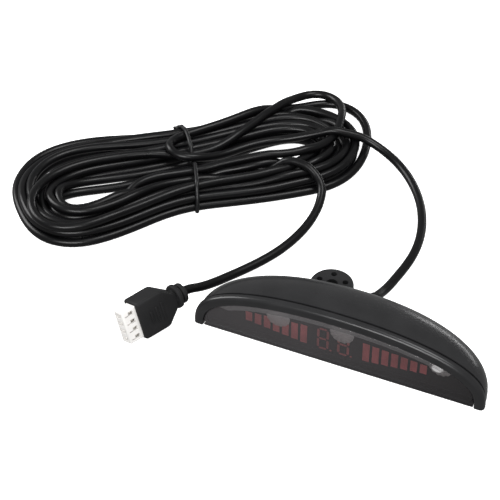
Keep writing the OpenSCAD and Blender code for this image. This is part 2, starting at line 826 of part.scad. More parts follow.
module plug_housing() {
    color("#e9e6de") at_plug() difference() {
        translate([boot_l - plug_in, -plug_w / 2, -plug_t / 2]) cube([plug_in + plug_out, plug_w, plug_t]);
        pole_each() {
            translate([boot_l + plug_out - cell_l, -cell_w / 2, -cell_h / 2])
                cube([cell_l + 1, cell_w, cell_h]);
            translate([boot_l + plug_out - window_back, -cell_w / 2 + 0.2, 0])
                cube([window_l, cell_w - 0.4, plug_t]);
            translate([boot_l + plug_out - window_back, cell_w / 2 - 0.2 - slit_w, 0])
                cube([window_back - slit_front, slit_w, plug_t]);
        }
    }
}

module plug_terminals() {
    color("#c9c6bb") at_plug() pole_each() difference() {
        translate([boot_l + plug_out - cell_l, -cell_w / 2 + 0.2, -cell_h / 2])
            cube([cell_l - 1.4, cell_w - 0.4, cell_h - 0.4]);
        translate([boot_l + plug_out - cell_l + 2, -cell_w / 2 + 0.5, -cell_h / 2 + 0.4])
            cube([cell_l, cell_w - 1, cell_h - 1.2]);
    }
}

rear_shell();
front_frame();
lens();
display_mask();
bars_left();
bars_right();
digit_left();
digit_right();
light_frame();
circuit_board();
bar_leds();
digit_leds();
frame_screws();
controller_chip();
oscillator();
capacitors();
wire_header();
lead_wires();
buzzer();
base_cover();
base_screws();
adhesive_pad();
cable_gland();
cable_tail();
display_lead();
hank();
hank_tie();
plug_lead();
plug_boot();
plug_housing();
plug_terminals();
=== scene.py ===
"""Crescent dashboard display of a reversing aid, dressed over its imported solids.

Sizes are in millimetres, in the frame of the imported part. The meshes are in metres.
"""

import logging
import math
from dataclasses import dataclass, field
from enum import Enum
from typing import Callable, Sequence

import bpy
import numpy as np
from mathutils import Matrix, Vector


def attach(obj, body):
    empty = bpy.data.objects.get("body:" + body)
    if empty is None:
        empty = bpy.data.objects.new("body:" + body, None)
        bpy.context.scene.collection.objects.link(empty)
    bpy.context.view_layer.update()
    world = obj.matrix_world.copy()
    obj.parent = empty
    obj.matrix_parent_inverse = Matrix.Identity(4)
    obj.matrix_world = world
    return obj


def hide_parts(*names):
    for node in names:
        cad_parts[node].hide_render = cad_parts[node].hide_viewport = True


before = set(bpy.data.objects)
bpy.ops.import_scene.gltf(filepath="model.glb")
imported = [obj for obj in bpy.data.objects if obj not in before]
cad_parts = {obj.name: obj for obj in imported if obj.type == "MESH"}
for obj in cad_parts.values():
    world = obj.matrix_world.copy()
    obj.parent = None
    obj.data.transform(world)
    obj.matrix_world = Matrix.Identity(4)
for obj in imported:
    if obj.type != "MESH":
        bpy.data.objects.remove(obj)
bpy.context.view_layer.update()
MM = 0.001
# How far a cutting body reaches past the face that it cuts
PAST = 1.0
LOG = logging.getLogger("display")
Pair = tuple[float, float]
Point = tuple[float, float, float]
Colour = tuple[float, float, float]
Piece = bpy.types.Object
Socket = bpy.types.NodeSocket


# ---------------------------------------------------------------- modelling by operators


class Join(Enum):
    """How one body is combined with another."""

    ADD = "UNION"
    CUT = "DIFFERENCE"


class Bench:
    """The modelling operators, each used on one piece at a time."""

    @staticmethod
    def clear() -> None:
        """Leaves nothing selected."""
        if bpy.context.object and bpy.context.object.mode != "OBJECT":
            bpy.ops.object.mode_set(mode="OBJECT")
        bpy.ops.object.select_all(action="DESELECT")

    @staticmethod
    def pick(piece: Piece) -> None:
        """Makes one piece the only selected and active one.

        Args:
            piece: The piece.
        """
        Bench.clear()
        piece.select_set(True)
        bpy.context.view_layer.objects.active = piece

    @staticmethod
    def edit(piece: Piece) -> None:
        """Enters edit mode with the whole of a piece selected.

        Args:
            piece: The piece.
        """
        Bench.pick(piece)
        bpy.ops.object.mode_set(mode="EDIT")
        bpy.ops.mesh.select_all(action="SELECT")

    @staticmethod
    def done() -> None:
        """Leaves edit mode."""
        bpy.ops.object.mode_set(mode="OBJECT")

    @staticmethod
    def named(name: str) -> Piece:
        """Names the object that an operator has just added.

        Args:
            name: Its name.

        Returns:
            The object.
        """
        piece = bpy.context.object
        piece.name = piece.data.name = name
        return piece

    @staticmethod
    def settle_place(piece: Piece) -> None:
        """Puts a piece's place, turn and size into its mesh."""
        Bench.pick(piece)
        bpy.ops.object.transform_apply(location=True, rotation=True, scale=True)

    @staticmethod
    def grid(name: str, across: int, along: int, place: Callable[[float, float], Point]) -> Piece:
        """Adds a grid and lays it over a curved surface.

        Args:
            name: Name of the piece.
            across: Faces along the first parameter.
            along: Faces along the second parameter.
            place: Gives a point for two parameters from 0 to 1.

        Returns:
            The new piece.
        """
        Bench.clear()
        bpy.ops.mesh.primitive_grid_add(x_subdivisions=across, y_subdivisions=along, size=1.0)
        piece = Bench.named(name)
        for vert in piece.data.vertices:
            vert.co = Vector(place(vert.co.x + 0.5, vert.co.y + 0.5)) * MM
        piece.data.update()
        return piece

    @staticmethod
    def block(name: str, low: Point, high: Point) -> Piece:
        """Adds a block.

        Args:
            name: Name of the piece.
            low: Its lowest corner.
            high: Its highest corner.

        Returns:
            The new piece.
        """
        Bench.clear()
        mid = [(a + b) / 2 * MM for a, b in zip(low, high)]
        bpy.ops.mesh.primitive_cube_add(size=1.0, location=mid)
        piece = Bench.named(name)
        piece.scale = [(b - a) * MM for a, b in zip(low, high)]
        Bench.settle_place(piece)
        return piece

    @staticmethod
    def rod(name: str, start: Point, end: Point, across: float, sides: int = 48) -> Piece:
        """Adds a round rod.

        Args:
            name: Name of the piece.
            start: Middle of one end.
            end: Middle of the other end.
            across: Diameter.
            sides: Faces round it.

        Returns:
            The new piece.
        """
        Bench.clear()
        a, b = Vector(start) * MM, Vector(end) * MM
        bpy.ops.mesh.primitive_cylinder_add(
            vertices=sides, radius=across / 2 * MM, depth=(b - a).length, location=(a + b) / 2)
        piece = Bench.named(name)
        piece.rotation_euler = (b - a).to_track_quat("Z", "Y").to_euler()
        Bench.settle_place(piece)
        return piece

    @staticmethod
    def turned(name: str, outline: Sequence[Pair], steps: int = 64) -> Piece:
        """Spins an outline about the Z axis.

        Args:
            name: Name of the piece.
            outline: Pairs of radius and height.
            steps: Faces round it.

        Returns:
            The new piece.
        """
        Bench.clear()
        bpy.ops.mesh.primitive_circle_add(vertices=len(outline), radius=1.0, fill_type="NOTHING")
        piece = Bench.named(name)
        for vert, (radius, height) in zip(piece.data.vertices, outline):
            vert.co = Vector((radius, 0.0, height)) * MM
        Bench.edit(piece)
        bpy.ops.mesh.spin(steps=steps, angle=2 * math.pi, center=(0, 0, 0), axis=(0, 0, 1))
        Bench.done()
        Bench.clean(piece)
        return piece

    @staticmethod
    def choose(piece: Piece, test: Callable[[bpy.types.MeshPolygon], bool]) -> None:
        """Enters edit mode with the faces that pass a test selected.

        Args:
            piece: The piece.
            test: Says whether a face is chosen.
        """
        Bench.pick(piece)
        bpy.ops.object.mode_set(mode="EDIT")
        bpy.ops.mesh.select_mode(type="FACE")
        bpy.ops.mesh.select_all(action="DESELECT")
        bpy.ops.object.mode_set(mode="OBJECT")
        for face in piece.data.polygons:
            face.select = test(face)
        bpy.ops.object.mode_set(mode="EDIT")

    @staticmethod
    def clean(piece: Piece, gap: float = 0.002) -> None:
        """Merges doubled points and turns all faces outwards.

        Args:
            piece: The piece.
            gap: Points nearer to each other than this are merged.
        """
        Bench.edit(piece)
        bpy.ops.mesh.remove_doubles(threshold=gap * MM)
        bpy.ops.mesh.dissolve_degenerate(threshold=gap * MM)
        bpy.ops.mesh.normals_make_consistent(inside=False)
        Bench.done()

    @staticmethod
    def modify(piece: Piece, kind: str, **settings: object) -> None:
        """Adds one modifier and applies it.

        Args:
            piece: The piece.
            kind: Kind of modifier.
            settings: Its settings, by name.
        """
        Bench.pick(piece)
        mod = piece.modifiers.new(kind.lower(), kind)
        for key, value in settings.items():
            setattr(mod, key, value)
        bpy.ops.object.modifier_apply(modifier=mod.name)

    @staticmethod
    def combine(piece: Piece, other: Piece, how: Join) -> None:
        """Adds another body to a piece or cuts it away, then removes that body."""
        Bench.modify(piece, "BOOLEAN", object=other, operation=how.value, solver="EXACT")
        bpy.data.objects.remove(other)

    @staticmethod
    def soften(piece: Piece, width: float, steps: int = 3, angle: float = 35.0) -> None:
        """Rounds the edges of a piece that are sharper than an angle."""
        Bench.modify(piece, "BEVEL", width=width * MM, segments=steps, limit_method="ANGLE",
                     angle_limit=math.radians(angle), use_clamp_overlap=True)

    @staticmethod
    def smooth(piece: Piece, angle: float = 35.0) -> None:
        """Shades a piece smoothly up to an angle."""
        Bench.pick(piece)
        bpy.ops.object.shade_smooth_by_angle(angle=math.radians(angle))


# ---------------------------------------------------------------- finishes


class Sheet:
    """A material under construction: its nodes and the shader at its end."""

    def __init__(self, name: str) -> None:
        """Starts a material with one main shader.

        Args:
            name: Name of the material.
        """
        self.material = bpy.data.materials.new(name)
        self.material.use_nodes = True
        self.tree = self.material.node_tree
        self.shader = self.tree.nodes["Principled BSDF"]
        self.coords = self.node("TexCoord").outputs["Object"]

    def fill(self, node: bpy.types.Node, **inputs: object) -> bpy.types.Node:
        """Sets inputs of a node to plain values, or links them to sockets.

        Args:
            node: The node.
            inputs: Values or sockets by the names of the inputs, with _ for each space.

        Returns:
            The node.
        """
        for key, value in inputs.items():
            socket = node.inputs[key.replace("_", " ")]
            if isinstance(value, Socket):
                self.tree.links.new(value, socket)
            else:
                socket.default_value = value
        return node

    def node(self, kind: str, **inputs: object) -> bpy.types.Node:
        """Adds a node and fills its inputs."""
        return self.fill(self.tree.nodes.new("ShaderNode" + kind), **inputs)

    def set(self, **inputs: object) -> None:
        """Fills inputs of the shader."""
        self.fill(self.shader, **inputs)

    def noise(self, scale: float, detail: float = 3.0, vector: Socket | None = None) -> Socket:
        """A grey noise pattern, on the object's own coordinates unless others are given."""
        return self.node("TexNoise", Scale=scale, Detail=detail, Vector=vector or self.coords).outputs["Fac"]

    def ramp(self, source: Socket, colours: Sequence[Sequence[float]], stops: Pair = (0.3, 0.7)) -> Socket:
        """Colours for a grey pattern.

        Args:
            source: The pattern.
            colours: Its dark and its light colour.
            stops: Their places in the pattern's range.

        Returns:
            The colour.
        """
        node = self.node("ValToRGB", Fac=source)
        for mark, place, colour in zip(node.color_ramp.elements, stops, colours):
            mark.position = place
            mark.color = (*colour, 1.0)
        return node.outputs["Color"]

    def spread(self, source: Socket, low: float, high: float) -> Socket:
        """Maps the middle of a grey pattern to a range of values."""
        ends = {"From_Min": 0.3, "From_Max": 0.7, "To_Min": low, "To_Max": high}
        return self.node("MapRange", Value=source, **ends).outputs["Result"]

    def painted_shade_along_x(self, colour: Socket, start: float, end: float, share: float) -> Socket:
        """Darkens a colour along X: painted shade.

        Args:
            colour: The colour.
            start: Where the painted shade starts.
            end: Where it is darkest.
            share: What is left of it there.

        Returns:
            The colour with the painted shade.
        """
        x = self.node("SeparateXYZ", Vector=self.coords).outputs["X"]
        left = self.node("MapRange", Value=x, From_Min=start * MM, From_Max=end * MM, To_Min=1.0, To_Max=share)
        scale = self.tree.nodes.new("ShaderNodeVectorMath")
        scale.operation = "SCALE"
        self.fill(scale, Vector=colour, Scale=left.outputs["Result"])
        return scale.outputs["Vector"]

    def bump(self, source: Socket, strength: float, depth: float) -> None:
        """Turns a pattern into fine relief."""
        node = self.node("Bump", Strength=strength, Distance=depth * MM, Height=source)
        self.set(Normal=node.outputs["Normal"])


@dataclass(frozen=True)
class Moulded:
    """Moulded plastic or rubber: a mottled colour, uneven gloss and a fine eroded grain."""

    name: str
    colour: Colour
    gloss: Pair = (0.38, 0.48)
    grain: float = 2600.0
    relief: float = 0.25
    depth: float = 0.02
    mottle: float = 0.12
    specular: float = 0.5
    # Emission that paints a highlight on a part that is no lamp
    painted_glow: float = 0.0
    cloud: float = 90.0
    cloud_detail: float = 4.0
    patch: float = 220.0
    stops: Pair = (0.35, 0.65)

    def material(self) -> bpy.types.Material:
        """Builds the material.

        Returns:
            The material.
        """
        sheet = Sheet(self.name)
        dark = [c * (1 - self.mottle) for c in self.colour]
        light = [min(1.0, c * (1 + self.mottle)) for c in self.colour]
        sheet.set(Base_Color=sheet.ramp(sheet.noise(self.cloud, self.cloud_detail), (dark, light), self.stops),
                  Roughness=sheet.spread(sheet.noise(self.patch), *self.gloss), Specular_IOR_Level=self.specular,
                  Emission_Color=(*self.colour, 1.0), Emission_Strength=self.painted_glow)
        sheet.bump(sheet.noise(self.grain, 2.0), self.relief, self.depth)
        return sheet.material


class Skin(Enum):
    """Surface of a clear plastic.

    Scale, detail and range of its gloss, then scale, detail, strength and depth of its relief.
    """

    CLEAR = (140.0, 2.0, 0.04, 70.0, 1.0, 0.04, 0.05)
    FROSTED = (1800.0, 3.0, 0.15, 2400.0, 2.0, 0.3, 0.02)


@dataclass(frozen=True)
class Smoked:
    """Tinted clear plastic that lets part of what is behind it through."""

    name: str
    colour: Colour
    cover: float
    rough: float = 0.12
    skin: Skin = Skin.CLEAR
    # Painted shade along X: where the tint starts to darken, where it is darkest, and what is left of it there
    painted_shade: tuple[float, float, float] | None = None
    cloud: float = 60.0
    mottle: float = 0.06
    index: float = 1.49

    def material(self) -> bpy.types.Material:
        """Builds the material.

        Returns:
            The material.
        """
        sheet = Sheet(self.name)
        shades = [[c * (1 + side * self.mottle) for c in self.colour] for side in (-1, 1)]
        tint = sheet.ramp(sheet.noise(self.cloud), shades)
        patch, patch_detail, uneven, grain, grain_detail, strength, depth = self.skin.value
        rough = sheet.spread(sheet.noise(patch, patch_detail), self.rough, self.rough + uneven)
        # Painted shade along X, where it is given
        sheet.set(Base_Color=sheet.painted_shade_along_x(tint, *self.painted_shade) if self.painted_shade else tint, Roughness=rough,
                  Alpha=self.cover, IOR=self.index)
        sheet.bump(sheet.noise(grain, grain_detail), strength, depth)
        return sheet.material


@dataclass(frozen=True)
class Plated:
    """Plated or tinned metal with fine drawing lines."""

    name: str
    colour: Colour
    rough: Pair = (0.22, 0.38)
    lines: Point = (200.0, 4000.0, 4000.0)
    mottle: float = 0.15
    relief: float = 0.15
    depth: float = 0.01

    def material(self) -> bpy.types.Material:
        """Builds the material.

        Returns:
            The material.
        """
        sheet = Sheet(self.name)
        along = sheet.node("Mapping", Scale=self.lines, Vector=sheet.coords).outputs["Vector"]
        drawn = sheet.noise(1.0, 2.0, along)
        dark = [c * (1 - self.mottle) for c in self.colour]
        sheet.set(Base_Color=sheet.ramp(drawn, (dark, self.colour)), Roughness=sheet.spread(drawn, *self.rough),
                  Metallic=1.0)
        sheet.bump(drawn, self.relief, self.depth)
        return sheet.material


@dataclass(frozen=True)
class Masked:
    """Circuit board: solder mask over tracks that show as faint lines."""

    name: str
    colour: Colour
    track: Colour
    scale: float = 260.0
    track_width: float = 0.03
    lighter: float = 1.15
    rough: Pair = (0.25, 0.4)
    patch: float = 300.0
    relief: float = 0.3
    depth: float = 0.03

    def material(self) -> bpy.types.Material:
        """Builds the material.

        Returns:
            The material.
        """
        sheet = Sheet(self.name)
        upright = sheet.node("Mapping", Rotation=(math.pi / 2, 0.0, 0.0), Vector=sheet.coords).outputs["Vector"]
        bricks = sheet.node("TexBrick", Scale=self.scale, Color1=(*self.colour, 1.0), Mortar=(*self.track, 1.0),
                            Color2=(*[c * self.lighter for c in self.colour], 1.0), Mortar_Size=self.track_width,
                            Vector=upright)
        sheet.set(Base_Color=bricks.outputs["Color"], Roughness=sheet.spread(sheet.noise(self.patch), *self.rough))
        sheet.bump(bricks.outputs["Fac"], self.relief, self.depth)
        return sheet.material


class Finishes:
    """Every finish on the object, made once."""

    def __init__(self) -> None:
        """Builds the materials."""
        red = {"gloss": (0.35, 0.45), "mottle": 0.18, "relief": 0.05}
        self.housing = Moulded("charcoal_moulding", (0.0150, 0.0150, 0.0157), (0.23, 0.27), relief=0.05,
                               specular=0.27).material()
        self.base = Moulded("charcoal_base", (0.022, 0.022, 0.0225), (0.45, 0.55), relief=0.4).material()
        # The lens gets painted shade, darker towards its right end
        self.lens = Smoked("smoked_lens", (0.072, 0.067, 0.070), 0.40, painted_shade=(-10.0, 48.0, 0.30)).material()
        self.rail = Smoked("frosted_rail", (0.66, 0.64, 0.65), 0.38, 0.45, Skin.FROSTED).material()
        self.lug = Smoked("frosted_lug", (0.92, 0.86, 0.86), 0.58, 0.35, Skin.FROSTED).material()
        # Painted highlight: a white piece in the right lug glows, though it is no lamp
        self.painted_glint = Moulded("painted_glint_white", (0.93, 0.92, 0.92), (0.2, 0.3), mottle=0.03, relief=0.05,
                            painted_glow=0.95).material()
        self.mask = Moulded("dark_mask", (0.014, 0.012, 0.013), (0.5, 0.6), relief=0.03).material()
        self.diffuser = Moulded("red_diffuser", (0.69, 0.168, 0.175), **red).material()
        self.digit = Moulded("red_digit", (0.48, 0.115, 0.12), **red).material()
        self.well = Moulded("grey_light_frame", (0.16, 0.155, 0.16), (0.5, 0.6)).material()
        self.board = Masked("board_mask", (0.015, 0.075, 0.03), (0.05, 0.16, 0.07)).material()
        self.led = Moulded("clear_resin", (0.70, 0.66, 0.54), (0.12, 0.2), relief=0.05).material()
        self.steel = Plated("plated_steel", (0.62, 0.62, 0.63)).material()
        self.chip = Moulded("matt_resin", (0.018, 0.018, 0.019), (0.55, 0.68), relief=0.4).material()
        self.sleeve = Moulded("shrink_sleeve", (0.02, 0.035, 0.12), (0.2, 0.3)).material()
        self.header = Moulded("cream_nylon", (0.72, 0.68, 0.58), (0.4, 0.5)).material()
        self.core = Moulded("red_core", (0.38, 0.03, 0.025), (0.3, 0.4), relief=0.1).material()
        self.pad = Moulded("pad_liner", (0.30, 0.02, 0.02), (0.3, 0.45), grain=900.0, mottle=0.2).material()
        self.cord = Moulded("cable_sheath", (0.0024, 0.0024, 0.0027), (0.27, 0.34), grain=1500.0, relief=0.08,
                            mottle=0.2, specular=0.21).material()
        self.tie = Moulded("tie_coating", (0.004, 0.004, 0.0045), (0.30, 0.40), specular=0.3).material()
        self.boot = Moulded("moulded_boot", (0.0155, 0.0155, 0.0160), (0.45, 0.55), relief=0.3,
                            specular=0.06).material()
        self.plug = Moulded("white_nylon", (0.745, 0.73, 0.71), (0.42, 0.52), mottle=0.03).material()
        self.contact = Plated("tinned_contact", (0.72, 0.70, 0.66)).material()


def dress(piece: Piece, material: bpy.types.Material) -> None:
    """Gives a piece one finish and nothing else."""
    piece.data.materials.clear()
    piece.data.materials.append(material)


def keep(piece: Piece, slot: str, material: bpy.types.Material, *nodes: str) -> Piece:
    """Dresses a new piece, ties it to the part and says what it stands for.

    Args:
        piece: The finished piece.
        slot: Slot of the record that it takes its finish from.
        material: Its finish.
        nodes: Solids that it replaces.

    Returns:
        The piece.
    """
    dress(piece, material)
    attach(piece, "root")
    if nodes:
        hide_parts(*nodes)
    LOG.info("%s: slot %s, stands for %s", piece.name, slot, ", ".join(nodes) or "nothing")
    return piece


# ---------------------------------------------------------------- housing


@dataclass
class Arch:
    """The arch outline of the display, with flat feet on the surface it stands on."""

    power_x: float = 2.1
    power_z: float = 2.7

    def at(self, share: float, half: float, height: float) -> Pair:
        """Point of the arch from its right foot over the top to its left foot.

        Args:
            share: Share of the way, from 0 to 1.
            half: Half the width of the arch.
            height: Height of the arch.

        Returns:
            Its distance from the middle and its height.
        """
        turn = math.pi * share
        c, s = math.cos(turn), max(0.0, math.sin(turn))
        return math.copysign(half * abs(c) ** (2 / self.power_x), c), height * s ** (2 / self.power_z)

    def rise(self, x: float, half: float, height: float) -> float:
        """Height of the arch at a distance from its middle."""
        return height * max(0.0, 1 - (abs(x) / half) ** self.power_x) ** (1 / self.power_z)


@dataclass
class Housing:
    """The moulded shell, its buzzer turret and the frame round the lens."""

    arch: Arch = field(default_factory=Arch)
    width: float = 107.0
    height: float = 22.6
    depth: float = 28.0
    front: float = -18.1
    wall: float = 1.8
    plan_power: float = 2.2
    side_power: float = 2.5
    shell_faces: tuple[int, int] = (144, 64)
    # Step behind the frame, then its groove: depth, width, share of the shell's rows, how fast these cross it
    seam_step: float = 0.5
    groove: float = 0.9
    groove_wide: float = 1.2
    groove_share: float = 0.06
    groove_pace: float = 1.8
    frame_depth: float = 2.4
    frame_width: float = 3.6
    frame_round: float = 1.5
    inner_flat: float = 0.9
    inner_round: float = 0.5
    rim_faces: int = 168
    # Seat of the lens behind the frame, wider at the feet
    rebate: float = 0.3
    ledge: float = 0.9
    foot_ledge: float = 1.6
    foot_height: float = 2.0
    turret: Point = (-12.2, 10.2, 9.6)
    turret_across: float = 15.8
    turret_edge: float = 0.7
    bore_across: float = 12.7
    roof: float = 1.4
    sound_middle: float = 4.4
    sound_small: float = 2.1
    sound_circle: float = 9.8
    sound_turns: tuple[float, ...] = (29.0, 101.0, 173.0, 245.0)
    gland_at: Pair = (3.5, 5.5)
    gland_seat: float = 10.3
    gland_bore: float = 5.3
    gland_bore_length: float = 9.0
    boss_across: float = 6.2
    boss_length: float = 4.0
    boss_edge: float = 0.3

    def shell_point(self, across: float, along: float) -> Point:
        """Point of the outer skin: the groove behind the frame, then the dome.

        Args:
            across: Share of the way over the arch.
            along: Share of the way from the frame to the back.

        Returns:
            The point.
        """
        lip = self.groove_share
        half, height = self.width / 2 - self.seam_step, self.height - self.seam_step
        share, sink = 0.0, 0.0
        if along < lip:
            sink = self.groove * min(1.0, 2 - 2 * along / lip)
            y = self.frame_depth + self.groove_wide * min(1.0, self.groove_pace * along / lip)
        else:
            share = math.sin(math.pi / 2 * (along - lip) / (1 - lip))
            start = self.frame_depth + self.groove_wide
            y = start + (self.depth - start) * share
        plan = max(0.0, 1 - share ** self.plan_power) ** (1 / self.plan_power)
        side = max(0.0, 1 - share ** self.side_power) ** (1 / self.side_power)
        x, z = self.arch.at(1 - across, (half - sink) * plan, (height - sink) * side)
        return x, self.front + y, z

    def shell(self) -> Piece:
        """Models the shell with its turret, sound holes and cable boss.

        Returns:
            The shell.
        """
        shell = Bench.grid("shell", *self.shell_faces, self.shell_point)
        Bench.clean(shell)
        Bench.modify(shell, "SOLIDIFY", thickness=self.wall * MM, offset=-1.0, use_even_offset=False)
        Bench.clean(shell, 0.001)
        (tx, ty, top), (gx, gz), seat = self.turret, self.gland_at, self.gland_seat
        under = top - self.roof
        turret = Bench.rod("turret", (tx, ty, 0.0), (tx, ty, top), self.turret_across, 96)
        Bench.soften(turret, self.turret_edge, 4)
        Bench.combine(shell, turret, Join.ADD)
        boss = Bench.rod("boss", (gx, seat - self.boss_length, gz), (gx, seat, gz), self.boss_across, 64)
        Bench.soften(boss, self.boss_edge)
        Bench.combine(shell, boss, Join.ADD)
        cuts = [((tx, ty, -PAST), (tx, ty, under), self.bore_across),
                ((tx, ty, under - PAST), (tx, ty, top + PAST), self.sound_middle),
                ((gx, seat - self.gland_bore_length, gz), (gx, seat + PAST, gz), self.gland_bore)]
        for turn in map(math.radians, self.sound_turns):
            hx = tx + self.sound_circle / 2 * math.cos(turn)
            hy = ty + self.sound_circle / 2 * math.sin(turn)
            cuts.append(((hx, hy, under - PAST), (hx, hy, top + PAST), self.sound_small))
        for start, end, across in cuts:
            Bench.combine(shell, Bench.rod("cut", start, end, across), Join.CUT)
        Bench.smooth(shell, 32.0)
        return shell

    def frame_profile(self) -> list[Pair]:
        """Profile of the frame, from the seam round the front to the back.

        Returns:
            Pairs of inset and depth.
        """
        r, n, w, d = self.frame_round, self.inner_round, self.frame_width, self.frame_depth
        rows = [(0.0, d), (0.0, (d + r) / 2)]
        rows += [(r * (1 - math.cos(q)), r * (1 - math.sin(q))) for q in np.linspace(0, math.pi / 2, 9)]
        rows += [(w - self.inner_flat, 0.0)]
        rows += [(w - n + n * math.sin(q), n * (1 - math.cos(q))) for q in np.linspace(0, math.pi / 2, 6)]
        back = d - self.rebate
        return rows + [(w, back), (w + self.ledge, back), (w + self.ledge, d), (0.0, d)]

    def rim(self) -> Piece:
        """Models the frame as its profile carried along the arch.

        Returns:
            The frame.
        """
        rows = self.frame_profile()
        last = len(rows) - 1

        def place(across: float, along: float) -> Point:
            """Point of the frame's skin.

            Args:
                across: Share of the way over the arch.
                along: Share of the way round the profile.

            Returns:
                The point.
            """
            inset, depth = rows[min(last, round(along * last))]
            x, z = self.arch.at(across, self.width / 2 - inset, self.height - inset)
            if inset > self.frame_width and z < self.foot_height:
                x -= math.copysign(self.foot_ledge * (1 - z / self.foot_height), x)
            return x, self.front + depth, z

        rim = Bench.grid("lens_frame", self.rim_faces, last, place)
        Bench.clean(rim)
        Bench.edit(rim)
        bpy.ops.mesh.region_to_loop()
        bpy.ops.mesh.fill_holes(sides=0)
        bpy.ops.mesh.select_all(action="SELECT")
        bpy.ops.mesh.normals_make_consistent(inside=False)
        Bench.done()
        Bench.smooth(rim, 40.0)
        return rim

    def build(self, finishes: Finishes) -> None:
        """Models and dresses the housing."""
        keep(self.shell(), "housing", finishes.housing, "rear_shell")
        keep(self.rim(), "housing", finishes.housing, "front_frame")


@dataclass
class Lens:
    """The smoked lens with its lighter rail and round lugs."""

    housing: Housing
    gap: float = 0.3
    setback: float = 0.3
    thickness: float = 1.6
    edge: float = 0.25
    edge_points: int = 160
    # Faces that look down more than this are dark, as the housing is
    dark_under: float = -0.15
    air: float = 0.05
    rail_inset: float = 0.95
    rail_height: float = 2.85
    rail_depth: float = 0.8
    rail_ends: Pair = (-44.7, 41.5)
    rail_taper: float = 4.0
    rail_tip: float = 0.02
    rail_lowest: float = 0.4
    lug_radius: float = 4.4
    lug_dome: float = 0.7
    lug_back: float = 0.3
    lug_wall: float = 0.2
    flutes: int = 14
    flute_depth: float = 0.10
    lugs: tuple[Pair, ...] = ((-22.4, 12.1), (1.1, 13.4), (36.7, 12.0))
    # Painted highlight: a small glowing white piece in the right lug, given by its middle, setback and size
    glint_at: Pair = (35.6, 11.2)
    glint_back: float = 0.36
    glint_size: Point = (2.0, 0.34, 1.6)

    def plate(self) -> Piece:
        """Models the lens plate from a filled ring.

        Returns:
            The plate.
        """
        house, last = self.housing, self.edge_points - 1
        half = house.width / 2 - house.frame_width - self.gap
        height = house.height - house.frame_width - self.gap
        Bench.clear()
        bpy.ops.mesh.primitive_circle_add(vertices=self.edge_points, radius=1.0, fill_type="NGON")
        plate = Bench.named("lens_plate")
        for index, vert in enumerate(plate.data.vertices):
            x, z = house.arch.at(index / last, half, height)
            vert.co = Vector((x, house.front + self.setback, z)) * MM
        Bench.choose(plate, lambda face: True)
        bpy.ops.mesh.extrude_region_move(
            TRANSFORM_OT_translate={"value": (0.0, self.thickness * MM, 0.0)})
        Bench.done()
        Bench.clean(plate)
        Bench.soften(plate, self.edge, 3, 60.0)
        Bench.smooth(plate, 30.0)
        return plate

    def behind(self) -> float:
        """Depth just behind the lens plate."""
        return self.housing.front + self.setback + self.thickness + self.air

    @staticmethod
    def walled(piece: Piece, wall: float, angle: float) -> Piece:
        """Gives a surface its wall.

        Args:
            piece: The surface.
            wall: Thickness of the wall.
            angle: Angle up to which it is shaded smoothly.

        Returns:
            The piece.
        """
        Bench.clean(piece)
        Bench.modify(piece, "SOLIDIFY", thickness=wall * MM, offset=-1.0)
        Bench.clean(piece)
        Bench.smooth(piece, angle)
        return piece

    def rail(self) -> Piece:
        """Models the frosted rail along the top of the lens, with tapered ends.

        Returns:
            The rail.
        """
        inset = self.housing.frame_width + self.rail_inset
        half, height = self.housing.width / 2 - inset, self.housing.height - inset
        left, right = self.rail_ends

        def place(across: float, along: float) -> Point:
            """Point of the rail's front.

            Args:
                across: Share of its length.
                along: Share of its height, from the top.

            Returns:
                The point.
            """
            x = left + (right - left) * across
            share = min(1.0, *(self.rail_tip + run / self.rail_taper for run in (x - left, right - x)))
            z = self.housing.arch.rise(x, half, height) - self.rail_height * share * along
            return x, self.behind(), max(self.rail_lowest, z)

        return self.walled(Bench.grid("lens_rail", 120, 6, place), self.rail_depth, 30.0)

    def lug(self, at: Pair, index: int) -> Piece:
        """Models one round lug below the rail as a fluted dome.

        Args:
            at: Middle of the lug, across and up.
            index: Number of the lug, for its name.

        Returns:
            The lug.
        """
        x, z = at

        def place(across: float, along: float) -> Point:
            """Point of the dome.

            Args:
                across: Share of the way round.
                along: Share of the way from its middle to its rim.

            Returns:
                The point.
            """
            turn, out = 2 * math.pi * across, self.lug_radius * along
            flute = self.flute_depth * along * math.cos(self.flutes * turn)
            sink = self.lug_dome * along ** 2 - flute + self.flute_depth + self.lug_back
            return x + out * math.cos(turn), self.behind() + sink, z + out * math.sin(turn)

        return self.walled(Bench.grid(f"lens_lug_{index}", self.flutes * 8, 10, place), self.lug_wall, 50.0)

    def painted_glint(self) -> Piece:
        """Models a small white piece in the right lug that glows: a painted highlight.

        Returns:
            The glowing piece.
        """
        Bench.clear()
        bpy.ops.mesh.primitive_uv_sphere_add(segments=32, ring_count=16, radius=MM)
        painted_glint = Bench.named("lens_painted_glint")
        x, z = self.glint_at
        painted_glint.scale = self.glint_size
        painted_glint.location = Vector((x, self.behind() + self.glint_back, z)) * MM
        Bench.settle_place(painted_glint)
        Bench.smooth(painted_glint, 60.0)
        return painted_glint

    def build(self, finishes: Finishes) -> None:
        """Models and dresses the lens.

        Args:
            finishes: The finishes of the object.
        """
        plate = keep(self.plate(), "lens", finishes.lens, "lens")
        plate.data.materials.append(finishes.housing)
        for face in plate.data.polygons:
            if face.normal.z < self.dark_under:
                face.material_index = 1
        keep(self.rail(), "lens", finishes.rail)
        for index, at in enumerate(self.lugs):
            keep(self.lug(at, index), "lens", finishes.lug)
        keep(self.painted_glint(), "lens", finishes.painted_glint)


# ---------------------------------------------------------------- cable


